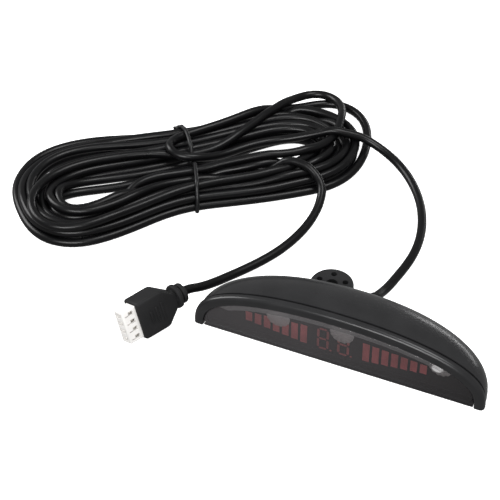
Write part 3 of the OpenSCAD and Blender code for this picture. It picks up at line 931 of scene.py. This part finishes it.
@dataclass
class Lay:
    """How the cable lies: loose guides, turns of a hank, then settling under weight."""

    across: float = 3.4
    step: float = 2.2
    hank_at: Pair = (-89.0, 57.0)
    hank_turn: float = 47.0
    turns: float = 9.8
    # Sway of the turns between the outermost and the innermost: its share, then height, waves a turn and start of each
    sway: float = 0.03
    waves: tuple[Point, ...] = ((1.0, 1.37, 1.1), (0.7, 2.61, 0.0))
    # Two layers of turns: middle height, half the rise, steepness of the change, half waves a turn
    layer_middle: float = 3.2
    layer_rise: float = 1.45
    layer_steep: float = 3.0
    layer_pace: float = 0.93
    # Spacing of the points on the ring and on one turn, and how many of them make one guide
    ring_step: float = 0.5
    turn_step: float = 1.0
    guide_every: int = 5
    # Settling: rounds, and how firmly the turns and the guided runs are held to their place
    rounds: int = 260
    turn_hold: float = 0.05
    guide_hold: float = 0.12
    # Points at each end that move less, and neighbours along the cable that don't push, in diameters
    still_ends: float = 8.0
    neighbours: float = 3.0
    # Strands that may touch: how often they are looked for, and how near, in diameters
    look_every: int = 8
    look_reach: float = 1.6
    # Pushing apart: distance in diameters, share of the overlap, lean to the upright, damping where many touch
    apart: float = 1.01
    push: float = 0.5
    lean: float = 0.35
    crowd: float = 0.6
    # Sinking in each round, and the share of the rounds that has it
    sink: float = 0.06
    sink_until: float = 0.85
    calm: float = 0.5
    floor_gap: float = 0.05
    # From the gland over the floor to the hank, in the frame of the object
    lead: tuple[Point, ...] = (
        (3.5, 13.7, 5.5), (3.9, 18, 4.9), (5, 23, 3), (5.7, 29.3, 1.8), (6.7, 35.1, 1.75), (7.45, 41.5, 1.75),
        (7.45, 48.9, 1.75), (6.35, 56.5, 1.75), (4.35, 63.5, 1.75), (1.15, 71.2, 1.75), (-3.35, 78.6, 1.75),
        (-9.2, 85.8, 1.75), (-16.2, 91.6, 2.2), (-23.2, 94.5, 3.6))
    # Over the hank to its hairpin and back round the right end, in the frame of the hank
    over: tuple[Point, ...] = (
        (68.0, -16.6, 5.6), (63.4, -14.6, 7.4), (57.8, -12.6, 8.6), (52.6, -9.6, 8.6), (47.4, -6.6, 7.8),
        (42, -4.2, 7), (36.4, -2, 6.2), (30.4, -0.7, 5.6), (20.6, -0.4, 5.6), (10, -2.0, 6), (2, -3.0, 6.6),
        (-3, -2.1, 7.2), (-6.8, 0.8, 7.8), (-8.1, 5, 8), (-6.8, 9.2, 8), (-3, 12.2, 8), (2.4, 12.9, 7.8),
        (7.4, 13, 7.6), (14, 13.2, 7.4),
        (20.1, 13.7, 7.2), (26.5, 14.4, 6.6), (33.8, 15.6, 7), (39.1, 16.3, 6.4), (46.7, 15.9, 5.6), (53.8, 16.2, 4.2),
        (62.3, 16.5, 2.6), (69.2, 14.6, 1.75), (74, 8.8, 1.75), (75.8, 1.1, 1.75), (74.1, -7, 1.75),
        (69.6, -15.4, 1.75), (63.6, -22.8, 1.75), (56, -28.8, 1.75), (46, -32.0, 1.75), (34, -30.8, 1.75))
    # Outermost turn of the hank, clockwise seen from above
    outline: tuple[Pair, ...] = (
        (20, -29.3), (2.3, -24.1), (-9.7, -20.8), (-20.2, -20.9), (-32.2, -22.9), (-43.9, -23.9), (-54.8, -23.7),
        (-63.7, -20), (-68.4, -11), (-69, 0), (-68.6, 12.5), (-62.5, 24.5), (-50.6, 32.7), (-36, 33.2),
        (-21.3, 29.0), (-7.3, 24.3), (3.8, 21), (13.9, 18.2), (27, 18.6), (38.9, 17.6), (50, 14.4), (59.4, 11),
        (65.6, 3.6), (69.4, -6), (67.6, -16.4), (61, -24.0), (53, -29.4), (44, -31.2), (33, -30))
    # Innermost turn, point by point beside the outermost
    core: tuple[Pair, ...] = (
        (18, -10), (2, -6.2), (-9, -5), (-19, -5.8), (-29, -8.6), (-38, -11.6), (-46.4, -13), (-53.2, -11),
        (-56.8, -6), (-56.6, -0.4), (-53.2, 4.6), (-46.6, 6.8), (-38.6, 6.4), (-29.6, 4.8), (-19, 3), (-7, 2),
        (3, 3), (12.5, 2.2), (23, 1.8), (33, 2.2), (41.4, 1.4), (47.2, -1.4), (50.6, -6), (51.2, -11.2),
        (49.2, -16), (44.8, -19.4), (39, -20.2), (32.6, -18), (26, -13.8))
    # Last, loose turn over the others, and out of the hank again
    loose: tuple[Point, ...] = (
        (36.6, -21.4, 5.4), (24, -22.4, 6.2), (10, -19.8, 6.6), (-2, -18, 6.8), (-14, -17.6, 6.8),
        (-26, -19.4, 6.8), (-38, -21.4, 6.8), (-49, -22.6, 6.8), (-57.4, -21.6, 6.8), (-63.8, -17.8, 6.8),
        (-66.8, -12, 6.8), (-67, -5, 6.8), (-64.4, 1.8, 6.8), (-58, 8.4, 6.8), (-49.2, 12, 6.8), (-39.8, 12.8, 6.8),
        (-28.7, 11.8, 6.8), (-17.1, 9.6, 6.2), (-7.9, 6.2, 5.4), (2.5, 2.6, 5.4), (12.4, 1.8, 6.4), (19.6, 3.6, 7),
        (27, 6.6, 7.8), (37.4, 11.6, 8), (43.4, 14.4, 8), (48.9, 17.2, 7.6), (55.4, 20, 6.8), (61.2, 21, 6),
        (65.4, 19.4, 5.6), (68.2, 16, 5.4), (69.4, 11.4, 5.2), (69, 6.4, 5), (67, 1.4, 5), (63.7, -3.4, 5.6),
        (60, -8.8, 6), (54, -14, 6), (48, -17, 5.6), (40, -17.8, 6.2), (28, -15, 6.4),
        (15, -11.4, 6), (3, -8.6, 5), (-10, -7, 3.8), (-24, -6.8, 3), (-36, -13, 2.4), (-45, -15.4, 2),
        (-54.4, -13.6, 2), (-59.8, -7.4, 2), (-57.6, 0, 2), (-50.8, 3.6, 2), (-39, 2.2, 2), (-26, -0.6, 2.2),
        (-14, 0.2, 2.6), (-2, -3, 3), (9, -7.6, 2.6), (18, -12, 2.6), (26, -16.4, 3.4),
        (33, -20.6, 5.4), (38, -25.8, 6.4), (40.8, -31.6, 5.4), (41, -36, 3.8))
    # Over the floor to the plug
    tail: tuple[Point, ...] = (
        (-34.2, 57.6, 2.8), (-33.7, 51.7, 1.75), (-34.4, 42.9, 1.75), (-36.3, 34, 1.75), (-39.1, 25.8, 1.75),
        (-42.6, 18.8, 1.8), (-46.2, 12.6, 2.1), (-49.8, 6.5, 3.2), (-53.1, -0.1, 5.2), (-56.3, -6.9, 7.5),
        (-59.2, -12.4, 8.332))

    @staticmethod
    def even(points: np.ndarray, step: float) -> np.ndarray:
        """Respaces points along their line.

        Args:
            points: Points of the line.
            step: Spacing of the result.

        Returns:
            The new points.
        """
        run = np.r_[0, np.cumsum(np.linalg.norm(np.diff(points, axis=0), axis=1))]
        marks = np.linspace(0, run[-1], max(2, round(run[-1] / step)) + 1)
        return np.stack([np.interp(marks, run, points[:, k]) for k in range(points.shape[1])], 1)

    @staticmethod
    def curve(guides: np.ndarray, step: float, fine: int = 24) -> np.ndarray:
        """Even points on a smooth curve through guide points.

        Args:
            guides: Points to pass through.
            step: Spacing of the result.
            fine: Samples between two guides.

        Returns:
            The points of the curve.
        """
        ends = np.vstack([2 * guides[0] - guides[1], guides, 2 * guides[-1] - guides[-2]])
        rows = []
        for a, b, c, d in zip(ends[:-3], ends[1:-2], ends[2:-1], ends[3:]):
            t = np.cumsum([0.0] + [math.sqrt(np.linalg.norm(q - p)) for p, q in ((a, b), (b, c), (c, d))])
            for s in np.linspace(t[1], t[2], fine, endpoint=False):
                def mix(i: int, j: int, p: np.ndarray, q: np.ndarray) -> np.ndarray:
                    """Point between two others at the running place."""
                    return ((t[j] - s) * p + (s - t[i]) * q) / (t[j] - t[i])
                ab, bc, cd = mix(0, 1, a, b), mix(1, 2, b, c), mix(2, 3, c, d)
                rows.append(mix(1, 2, mix(0, 2, ab, bc), mix(1, 3, bc, cd)))
        return Lay.even(np.array(rows + [guides[-1]]), step)

    def placed(self, rows: np.ndarray) -> np.ndarray:
        """Takes points from the frame of the hank to that of the object.

        Args:
            rows: The points.

        Returns:
            The moved points.
        """
        turn = math.radians(self.hank_turn)
        c, s = math.cos(turn), math.sin(turn)
        out = rows.copy()
        out[:, 0] = self.hank_at[0] + rows[:, 0] * c - rows[:, 1] * s
        out[:, 1] = self.hank_at[1] + rows[:, 0] * s + rows[:, 1] * c
        return out

    def wound(self) -> np.ndarray:
        """Turns of the hank: from the outermost turn to the innermost, in two layers.

        Returns:
            Guide points in the frame of the hank.
        """
        ring = np.hstack([np.array(self.outline), np.array(self.core)])
        line = self.curve(np.vstack([ring, ring[:3]]), self.ring_step)
        away = np.linalg.norm(line - ring[1], axis=1)
        half = len(line) // 2
        lap = self.even(line[away[:half].argmin():half + away[half:].argmin() + 1], self.turn_step)[:-1]
        count = len(lap)
        k = np.arange(0, int(count * self.turns) + 1, self.guide_every)
        lapse = k / count
        wave = sum(high * np.sin(2 * math.pi * pace * lapse + start) for high, pace, start in self.waves)
        share = np.clip(lapse / self.turns + self.sway * wave * np.minimum(1, lapse), 0, 1)[:, None]
        flat = lap[k % count, :2] * (1 - share) + lap[k % count, 2:] * share
        change = np.clip(self.layer_steep * np.cos(self.layer_pace * math.pi * lapse), -1, 1)
        layer = self.layer_middle - self.layer_rise * change
        return np.hstack([flat, layer[:, None]])

    def settled(self, line: np.ndarray, hold: np.ndarray) -> np.ndarray:
        """Lets the strands push apart, climb over each other, lie down and smooth out.

        Args:
            line: Points of the cable as guided, in millimetres.
            hold: How firmly each point is held to its guide, seen from above.

        Returns:
            The points at rest.
        """
        across, count = self.across, len(line)
        guide, place = line.copy(), np.arange(count)
        skip = int(self.neighbours * across / self.step)
        free = np.minimum(1, np.minimum(place, count - 1 - place) / self.still_ends)[:, None] ** 2
        for turn in range(self.rounds):
            if turn % self.look_every == 0:
                far = np.sqrt(((line[:, None, :] - line[None, :, :]) ** 2).sum(2))
                near = (far < across * self.look_reach) & (np.abs(place[:, None] - place[None, :]) > skip)
                one, two = np.where(np.triu(near))
            way = line[one] - line[two]
            span = np.linalg.norm(way, axis=1) + 1e-9
            push = np.maximum(0, across * self.apart - span) * self.push
            way[:, 2] += np.sign(way[:, 2]) * self.lean * span
            way *= (push / np.linalg.norm(way, axis=1))[:, None]
            move, hits = np.zeros_like(line), np.zeros((count, 1))
            for side, sign in ((one, 1.0), (two, -1.0)):
                np.add.at(move, side, sign * way)
                np.add.at(hits, side, (push > 0)[:, None] * 1.0)
            line = line + free * move / np.maximum(1, hits * self.crowd)
            line[:, :2] += free * hold[:, None] * (guide[:, :2] - line[:, :2])
            line[:, 2:] -= free * (0.0 if turn > self.rounds * self.sink_until else self.sink)
            calm = line.copy()
            calm[3:-3] = (line[:-6] + line[6:] + 6 * (line[1:-5] + line[5:-1]) + 15 * (line[2:-4] + line[4:-2])
                          + 20 * line[3:-3]) / 64
            line = line + free * self.calm * (calm - line)
            line[:, 2] = np.maximum(line[:, 2], across / 2 + self.floor_gap)
        return self.even(line, self.step)

    def points(self) -> np.ndarray:
        """Points of the whole cable at rest, in millimetres.

        Returns:
            The points, from the gland to the plug.
        """
        first = np.vstack([np.array(self.lead), self.placed(np.array(self.over))])
        last = np.vstack([self.placed(np.array(self.loose)), np.array(self.tail)])
        line = self.curve(np.vstack([first, self.placed(self.wound()), last]), self.step)
        hold = np.full(len(line), self.turn_hold)
        hold[:len(self.curve(first, self.step))] = self.guide_hold
        hold[-len(self.curve(last, self.step)):] = self.guide_hold
        return self.settled(line, hold)


@dataclass
class Cable:
    """The cable, its tie and its gland."""

    lay: Lay = field(default_factory=Lay)
    tie_across: float = 1.6
    over_tie: float = 184.0
    tie_bow: float = 2.0
    tie_eye: float = 0.2
    hump: float = 10.0
    hump_rise: float = 1.8
    tie_dip: float = 4.5
    tie_front: Pair = (-8.0, -26.5)
    tie_back: Pair = (4.5, 23.0)
    # Strands that the tie goes round, and the spacing of its points
    tie_band: float = 1.6
    tie_reach: float = 8.0
    tie_step: float = 0.6
    # Swelling of the tie at its back corner: way to the corner, spread, and way of the swelling
    eye_corner: Pair = (0.75, 0.66)
    eye_spread: float = 2.4
    eye_way: Pair = (0.5, 0.87)
    # Twisted ends: way to where they start, how far they run, size and turn of their coil, share of the thickness
    crown_way: Point = (-0.73, 0.68, 0.8)
    end_reach: Point = (2.0, 2.2, 0.2)
    end_coil: Point = (0.3, 0.3, 0.4)
    end_turn: float = 6.0
    end_share: float = 0.8
    gland_at: Point = (3.5, 10.3, 5.5)
    gland_gap: float = 0.05
    # Ribbed sleeve of the gland as (radius, distance) pairs
    sleeve: tuple[Pair, ...] = (
        (2.6, -4.6), (2.6, 0.0), (2.7, 0.0), (2.85, 0.2), (2.85, 1.2), (2.8, 1.4), (2.75, 1.45), (2.7, 1.9),
        (2.65, 2.0), (2.65, 2.3), (2.85, 2.4), (2.8, 2.8), (2.55, 2.9), (2.5, 3.4))

    @staticmethod
    def tube(name: str, points: np.ndarray, across: float, loop: bool = False) -> Piece:
        """Draws a round line through points given in millimetres.

        Args:
            name: Name of the piece.
            points: Points of the line.
            across: Diameter.
            loop: Whether its ends meet.

        Returns:
            The new piece.
        """
        data = bpy.data.curves.new(name, "CURVE")
        data.dimensions = "3D"
        data.bevel_depth = across / 2 * MM
        data.bevel_resolution = 4
        data.use_fill_caps = True
        line = data.splines.new("POLY")
        line.points.add(len(points) - 1)
        line.points.foreach_set("co", np.hstack([points * MM, np.ones((len(points), 1))]).ravel())
        line.use_cyclic_u = loop
        line.use_smooth = True
        piece = bpy.data.objects.new(name, data)
        bpy.context.scene.collection.objects.link(piece)
        return piece

    @staticmethod
    def eased(rows: np.ndarray, times: int) -> np.ndarray:
        """Smooths the points of a closed line.

        Args:
            rows: The points.
            times: Number of rounds.

        Returns:
            The smoothed points.
        """
        for _ in range(times):
            rows = (np.roll(rows, 1, 0) + 2 * rows + np.roll(rows, -1, 0)) / 4
        return rows

    def tie_line(self, cord: np.ndarray) -> np.ndarray:
        """Path of the tie: tight round the strands that cross its plane.

        Args:
            cord: Points of the cable.

        Returns:
            Points of the closed path.
        """
        ends = self.lay.placed(np.array([self.tie_front, self.tie_back]))
        start, span = ends[0], np.linalg.norm(ends[1] - ends[0])
        way = (ends[1] - ends[0]) / span
        side = np.array([way[1], -way[0]])
        rel = cord[:, :2] - start
        long, off = rel @ way, rel @ side
        hit = (np.abs(off) < self.tie_band) & (long > -self.tie_reach) & (long < span + self.tie_reach)
        hit &= np.arange(len(cord)) * self.lay.step > self.over_tie
        reach = (self.lay.across + self.tie_across) / 2
        turn = np.linspace(0, 2 * math.pi, 16, endpoint=False)
        cloud = np.vstack([np.stack([a + reach * np.cos(turn), b + reach * np.sin(turn)], 1)
                           for a, b in zip(long[hit], cord[hit, 2])])
        cloud[:, 1] = np.maximum(cloud[:, 1], self.tie_across / 2)
        angle = np.linspace(0, 2 * math.pi, 240, endpoint=False)
        face = np.stack([np.cos(angle), np.sin(angle)], 1)
        hull = cloud[(cloud @ face.T).argmax(0)]
        keep_row = np.r_[True, np.linalg.norm(np.diff(hull, axis=0), axis=1) > 1e-6]
        hull = hull[keep_row]
        hull = self.eased(Lay.even(np.vstack([hull, hull[:1]]), self.tie_step)[:-1], 3)
        corner = hull[(hull @ np.array(self.eye_corner)).argmax()]
        swell = np.exp(-(np.linalg.norm(hull - corner, axis=1) / self.eye_spread) ** 2)[:, None]
        hull = hull + self.tie_eye * swell * np.array(self.eye_way)
        bow = self.tie_bow * np.sin(math.pi * np.clip(hull[:, :1] / span, 0, 1)) * (hull[:, 1:] > self.lay.across)
        return np.hstack([start + hull[:, :1] * way + self.eased(bow, 6) * side, hull[:, 1:]])

    def crossed(self, cord: np.ndarray, tie: np.ndarray) -> tuple[np.ndarray, np.ndarray]:
        """Takes the strand that lies over the tie across it in a low hump, and presses the tie down there.

        Args:
            cord: Points of the cable.
            tie: Points of the tie, tight round the other strands.

        Returns:
            The points of the cable and of the tie.
        """
        run = np.arange(len(cord)) * self.lay.step
        near = np.linalg.norm(cord[:, None, :2] - tie[None, :, :2], axis=2)
        near[run > self.over_tie] = np.inf
        near[:, tie[:, 2] < self.lay.across] = np.inf
        row, col = np.unravel_index(near.argmin(), near.shape)
        need = max(0.0, tie[col, 2] + (self.lay.across + self.tie_across) / 2 - cord[row, 2])
        rise = min(need, self.hump_rise)
        cord, bent = cord.copy(), tie.copy()
        cord[:, 2] += rise * np.exp(-((run - run[row]) / self.hump) ** 2)
        off = np.linalg.norm(tie[:, :2] - tie[col, :2], axis=1)
        dip = (need - rise) * np.exp(-(off / self.tie_dip) ** 2) * (tie[:, 2] >= self.lay.across)
        bent[:, 2] -= dip
        return cord, bent

    def tie(self, line: np.ndarray) -> Piece:
        """Models the tie with its two twisted ends on the back strand.

        Args:
            line: Points of the tie's path.

        Returns:
            The tie.
        """
        loop = self.tube("hank_tie_loop", line, self.tie_across, True)
        crown = line[(line @ np.array(self.crown_way)).argmax()]
        parts = [loop]
        for phase in (0.0, math.pi):
            rise = np.linspace(0, 1, 28)[:, None]
            turn = self.end_turn * rise + phase
            coil = np.hstack([np.cos(turn), -np.cos(turn), np.sin(turn)])
            twist = crown - np.array(self.end_reach) * rise + np.array(self.end_coil) * coil
            parts.append(self.tube("tie_end", twist, self.tie_across * self.end_share))
        Bench.clear()
        for part in parts:
            part.select_set(True)
        bpy.context.view_layer.objects.active = loop
        bpy.ops.object.convert(target="MESH")
        bpy.ops.object.join()
        Bench.smooth(loop, 60.0)
        return loop

    def gland(self) -> Piece:
        """Models the gland as a ribbed sleeve turned about the cable.

        Returns:
            The gland.
        """
        bore = self.lay.across / 2 + self.gland_gap
        rows = [(bore, self.sleeve[0][1]), *self.sleeve, (bore, self.sleeve[-1][1])]
        gland = Bench.turned("cable_sleeve", rows, 48)
        gland.rotation_euler = (-math.pi / 2, 0.0, 0.0)
        gland.location = Vector(self.gland_at) * MM
        Bench.settle_place(gland)
        Bench.smooth(gland, 35.0)
        return gland

    def build(self, finishes: Finishes, plug: list[Piece]) -> None:
        """Args:
            finishes: The finishes of the object.
            plug: Pieces at the far end of the cable; not used.
        """
        points = self.lay.points()
        points, bound = self.crossed(points, self.tie_line(points))
        cord = keep(self.tube("cable", points, self.lay.across), "cord", finishes.cord,
                    "display_lead", "hank", "plug_lead")
        tie = keep(self.tie(bound), "tie", finishes.tie, "hank_tie")
        keep(self.gland(), "gland", finishes.boot, "cable_gland")


# ---------------------------------------------------------------- plug


@dataclass
class Plug:
    """The moulded boot and its white housing, in a frame with +X as the mating direction."""

    at: Point = (-59.2, -12.4, 8.3317)
    turn: float = 244.0
    roll: float = -67.5
    boot_length: float = 21.0
    boot_width: float = 14.2
    boot_thickness: float = 9.0
    neck_length: float = 6.4
    neck_width: float = 5.0
    neck_thickness: float = 6.4
    shoulder: float = 5.4
    lip: float = 1.4
    width: float = 12.4
    thickness: float = 5.2
    proud: float = 7.0
    sunk: float = 3.0
    poles: int = 4
    pitch: float = 3.0
    cell: float = 1.9
    window_back: float = 4.4
    window_length: float = 1.9
    slit: float = 0.45
    slit_front: float = 1.0
    window_inset: float = 0.2
    cell_back: float = 1.0
    cell_wall: float = 1.0
    edge: float = 0.25
    boot_edge: float = 1.0
    neck_overlap: float = 1.0
    fit_gap: float = 0.05
    ribs: int = 3
    rib_first: float = 1.4
    rib_pitch: float = 2.4
    rib_shrink: float = 0.65
    rib_half: float = 0.45
    rib_sunk: float = 0.5
    rib_edge: float = 0.3
    # Collared neck as (radius, distance) pairs
    neck: tuple[Pair, ...] = (
        (0.4, 0.0), (1.75, 0.0), (1.8, 1.1), (3.2, 1.1), (3.65, 1.3), (3.8, 1.7), (3.8, 2.3), (3.6, 2.7), (3.05, 2.9),
        (3.0, 3.15), (3.05, 3.4), (4.1, 3.6), (4.4, 3.85), (4.5, 4.3), (4.5, 4.9), (4.3, 5.35), (3.1, 5.6), (3.0, 5.9),
        (3.0, 8.4), (0.4, 8.4))

    def placed(self, piece: Piece) -> Piece:
        """Moves a piece from the plug's frame to its place on the surface.

        Args:
            piece: The piece to move.

        Returns:
            The same piece.
        """
        spot = (Matrix.Translation(Vector(self.at) * MM) @ Matrix.Rotation(math.radians(self.turn), 4, "Z")
                @ Matrix.Rotation(math.radians(self.roll), 4, "X"))
        piece.data.transform(spot)
        piece.data.update()
        return piece

    def boot(self) -> Piece:
        """Models the boot: block, shoulders, socket, collared neck and grip ribs.

        Returns:
            The boot.
        """
        w, t = self.boot_width / 2, self.boot_thickness / 2
        x0 = self.neck_length + self.shoulder
        boot = Bench.block("plug_cover", (x0, -w, -t), (self.boot_length + self.lip, w, t))
        Bench.choose(boot, lambda face: face.normal.x < -0.9)
        bpy.ops.mesh.extrude_region_move(
            TRANSFORM_OT_translate={"value": (-(self.shoulder + self.neck_overlap) * MM, 0, 0)})
        bpy.ops.transform.resize(
            value=(1.0, self.neck_width / self.boot_width, self.neck_thickness / self.boot_thickness),
            center_override=(x0 * MM, 0.0, 0.0))
        Bench.done()
        Bench.soften(boot, self.boot_edge, 4)
        wide, high = self.width / 2 + self.fit_gap, self.thickness / 2 + self.fit_gap
        socket = Bench.block("socket", (self.boot_length - self.sunk, -wide, -high),
                             (self.boot_length + self.lip + 2 * PAST, wide, high))
        neck = Bench.turned("neck", self.neck, 64)
        neck.rotation_euler = (0.0, math.pi / 2, 0.0)
        Bench.settle_place(neck)
        Bench.combine(boot, neck, Join.ADD)
        a, b = self.rib_half, self.rib_sunk
        for index in range(self.ribs):
            for side in (-1, 1):
                x = x0 + self.rib_first + self.rib_pitch * index
                half = self.boot_width / 4 - self.rib_shrink * index
                rib = Bench.block("rib", (x - a, -half, side * t - b), (x + a, half, side * t + b))
                Bench.soften(rib, self.rib_edge)
                Bench.combine(boot, rib, Join.ADD)
        Bench.combine(boot, socket, Join.CUT)
        Bench.smooth(boot, 40.0)
        return self.placed(boot)

    def housing(self) -> Piece:
        """Models the white housing with its cells and windows.

        Returns:
            The housing.
        """
        front = self.boot_length + self.proud
        w, t = self.width / 2, self.thickness / 2
        body = Bench.block("plug_body", (self.boot_length - self.sunk, -w, -t), (front, w, t))
        Bench.soften(body, self.edge)
        start, back, wall = self.boot_length - self.cell_back, front - self.window_back, t - self.cell_wall
        for index in range(self.poles):
            y = (index - (self.poles - 1) / 2) * self.pitch
            low, high = y - self.cell / 2, y + self.cell / 2
            edge = high - self.window_inset
            cuts = (((start, low, -wall), (front + PAST, high, wall)),
                    ((back, low + self.window_inset, 0.0), (back + self.window_length, edge, t + PAST)),
                    ((back, edge - self.slit, 0.0), (front - self.slit_front, edge, t + PAST)))
            for corner, other in cuts:
                Bench.combine(body, Bench.block("cut", corner, other), Join.CUT)
        Bench.smooth(body, 30.0)
        return self.placed(body)

    def build(self, finishes: Finishes) -> list[Piece]:
        """Models and dresses the plug.

        Args:
            finishes: The finishes of the object.

        Returns:
            Its pieces.
        """
        return [keep(self.boot(), "boot", finishes.boot, "plug_boot"),
                keep(self.housing(), "plug", finishes.plug, "plug_housing"),
                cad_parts["plug_terminals"]]


# ---------------------------------------------------------------- solids that stay, stage and camera


def dress_solids(finishes: Finishes) -> None:
    """Gives the solids that stay their finishes.

    Args:
        finishes: The finishes of the object.
    """
    rows = {
        "mask": ("display_mask",), "diffuser": ("bars_left", "bars_right"), "digit": ("digit_left", "digit_right"),
        "well": ("light_frame",), "board": ("circuit_board",), "led": ("bar_leds", "digit_leds"),
        "steel": ("frame_screws", "oscillator", "base_screws"), "chip": ("controller_chip", "buzzer"),
        "sleeve": ("capacitors",), "header": ("wire_header",), "core": ("lead_wires",), "base": ("base_cover",),
        "pad": ("adhesive_pad",), "cord": ("cable_tail",), "contact": ("plug_terminals",)}
    for finish, nodes in rows.items():
        for node in nodes:
            dress(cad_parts[node], getattr(finishes, finish))
            LOG.info("%s: solid, finish %s", node, finish)


@dataclass
class Studio:
    """Pale floor, soft light and the camera."""

    azimuth: float = 23.188
    elevation: float = 43.0
    distance: float = 594.985
    target: Point = (-49.803, 24.23, 0.0)
    focal_pixels: float = 1600.0
    picture: float = 500.0
    sensor: float = 36.0
    clip: Pair = (0.01, 20.0)
    # In metres and watts: floor, ambient light, where the soft lights point, and each as (name, place, size, power)
    floor_size: float = 6.0
    floor_drop: float = 0.0002
    floor_glow: float = 0.85
    ambient: float = 0.35
    aim: Point = (-0.05, 0.03, 0.01)
    lights: tuple[tuple[str, Point, Pair, float], ...] = (
        ("top_light", (0.25, 0.12, 0.95), (0.5, 0.4), 6.0),
        ("left_light", (-0.95, 0.1, 0.55), (0.5, 0.6), 8.5),
        ("front_light", (0.08, -0.88, 0.76), (0.7, 0.4), 13.5),
        ("rim_light", (0.22, 0.9, 0.04), (0.55, 0.05), 0.9))

    def camera(self) -> None:
        """Places the camera."""
        data = bpy.data.cameras.new("view")
        data.sensor_width = self.sensor
        data.lens = self.focal_pixels / self.picture * self.sensor
        data.clip_start, data.clip_end = self.clip
        camera = bpy.data.objects.new("view", data)
        bpy.context.scene.collection.objects.link(camera)
        a, e = math.radians(self.azimuth), math.radians(self.elevation)
        back = Vector((math.sin(a) * math.cos(e), -math.cos(a) * math.cos(e), math.sin(e)))
        camera.location = (Vector(self.target) + back * self.distance) * MM
        camera.rotation_euler = back.to_track_quat("Z", "Y").to_euler()
        bpy.context.scene.camera = camera

    @staticmethod
    def softbox(name: str, place: Point, aim: Point, size: Pair, power: float) -> None:
        """Adds one rectangular soft light, in metres and watts.

        Args:
            name: Name of the light.
            place: Where it stands.
            aim: Where it points.
            size: Its two sides.
            power: Its power.
        """
        data = bpy.data.lights.new(name, "AREA")
        data.shape = "RECTANGLE"
        data.size, data.size_y = size
        data.energy = power
        light = bpy.data.objects.new(name, data)
        bpy.context.scene.collection.objects.link(light)
        light.location = place
        light.rotation_euler = (Vector(place) - Vector(aim)).to_track_quat("Z", "Y").to_euler()

    def floor(self) -> None:
        """Lays the pale floor."""
        Bench.clear()
        bpy.ops.mesh.primitive_plane_add(size=self.floor_size, location=(0.0, 0.0, -self.floor_drop))
        floor = Bench.named("floor")
        sheet = Sheet("pale_floor")
        sheet.set(Base_Color=(0.8, 0.8, 0.8, 1.0), Roughness=0.9, Emission_Color=(1, 1, 1, 1),
                  Emission_Strength=self.floor_glow)
        dress(floor, sheet.material)
        floor.visible_glossy = floor.visible_diffuse = False

    def build(self) -> None:
        """Sets up the stage."""
        self.camera()
        self.floor()
        for name, place, size, power in self.lights:
            self.softbox(name, place, self.aim, size, power)
        world = bpy.data.worlds.new("studio")
        world.use_nodes = True
        world.node_tree.nodes["Background"].inputs["Color"].default_value = (1, 1, 1, 1)
        world.node_tree.nodes["Background"].inputs["Strength"].default_value = self.ambient
        bpy.context.scene.world = world
        bpy.context.scene.view_settings.view_transform = "Standard"


def main() -> None:
    """Builds the pieces in order."""
    logging.basicConfig(level=logging.INFO, format="%(name)s: %(message)s")
    finishes = Finishes()
    Studio().build()
    plug = Plug().build(finishes)
    Cable().build(finishes, plug)
    housing = Housing()
    housing.build(finishes)
    Lens(housing).build(finishes)
    dress_solids(finishes)


if __name__ == "__main__":
    main()
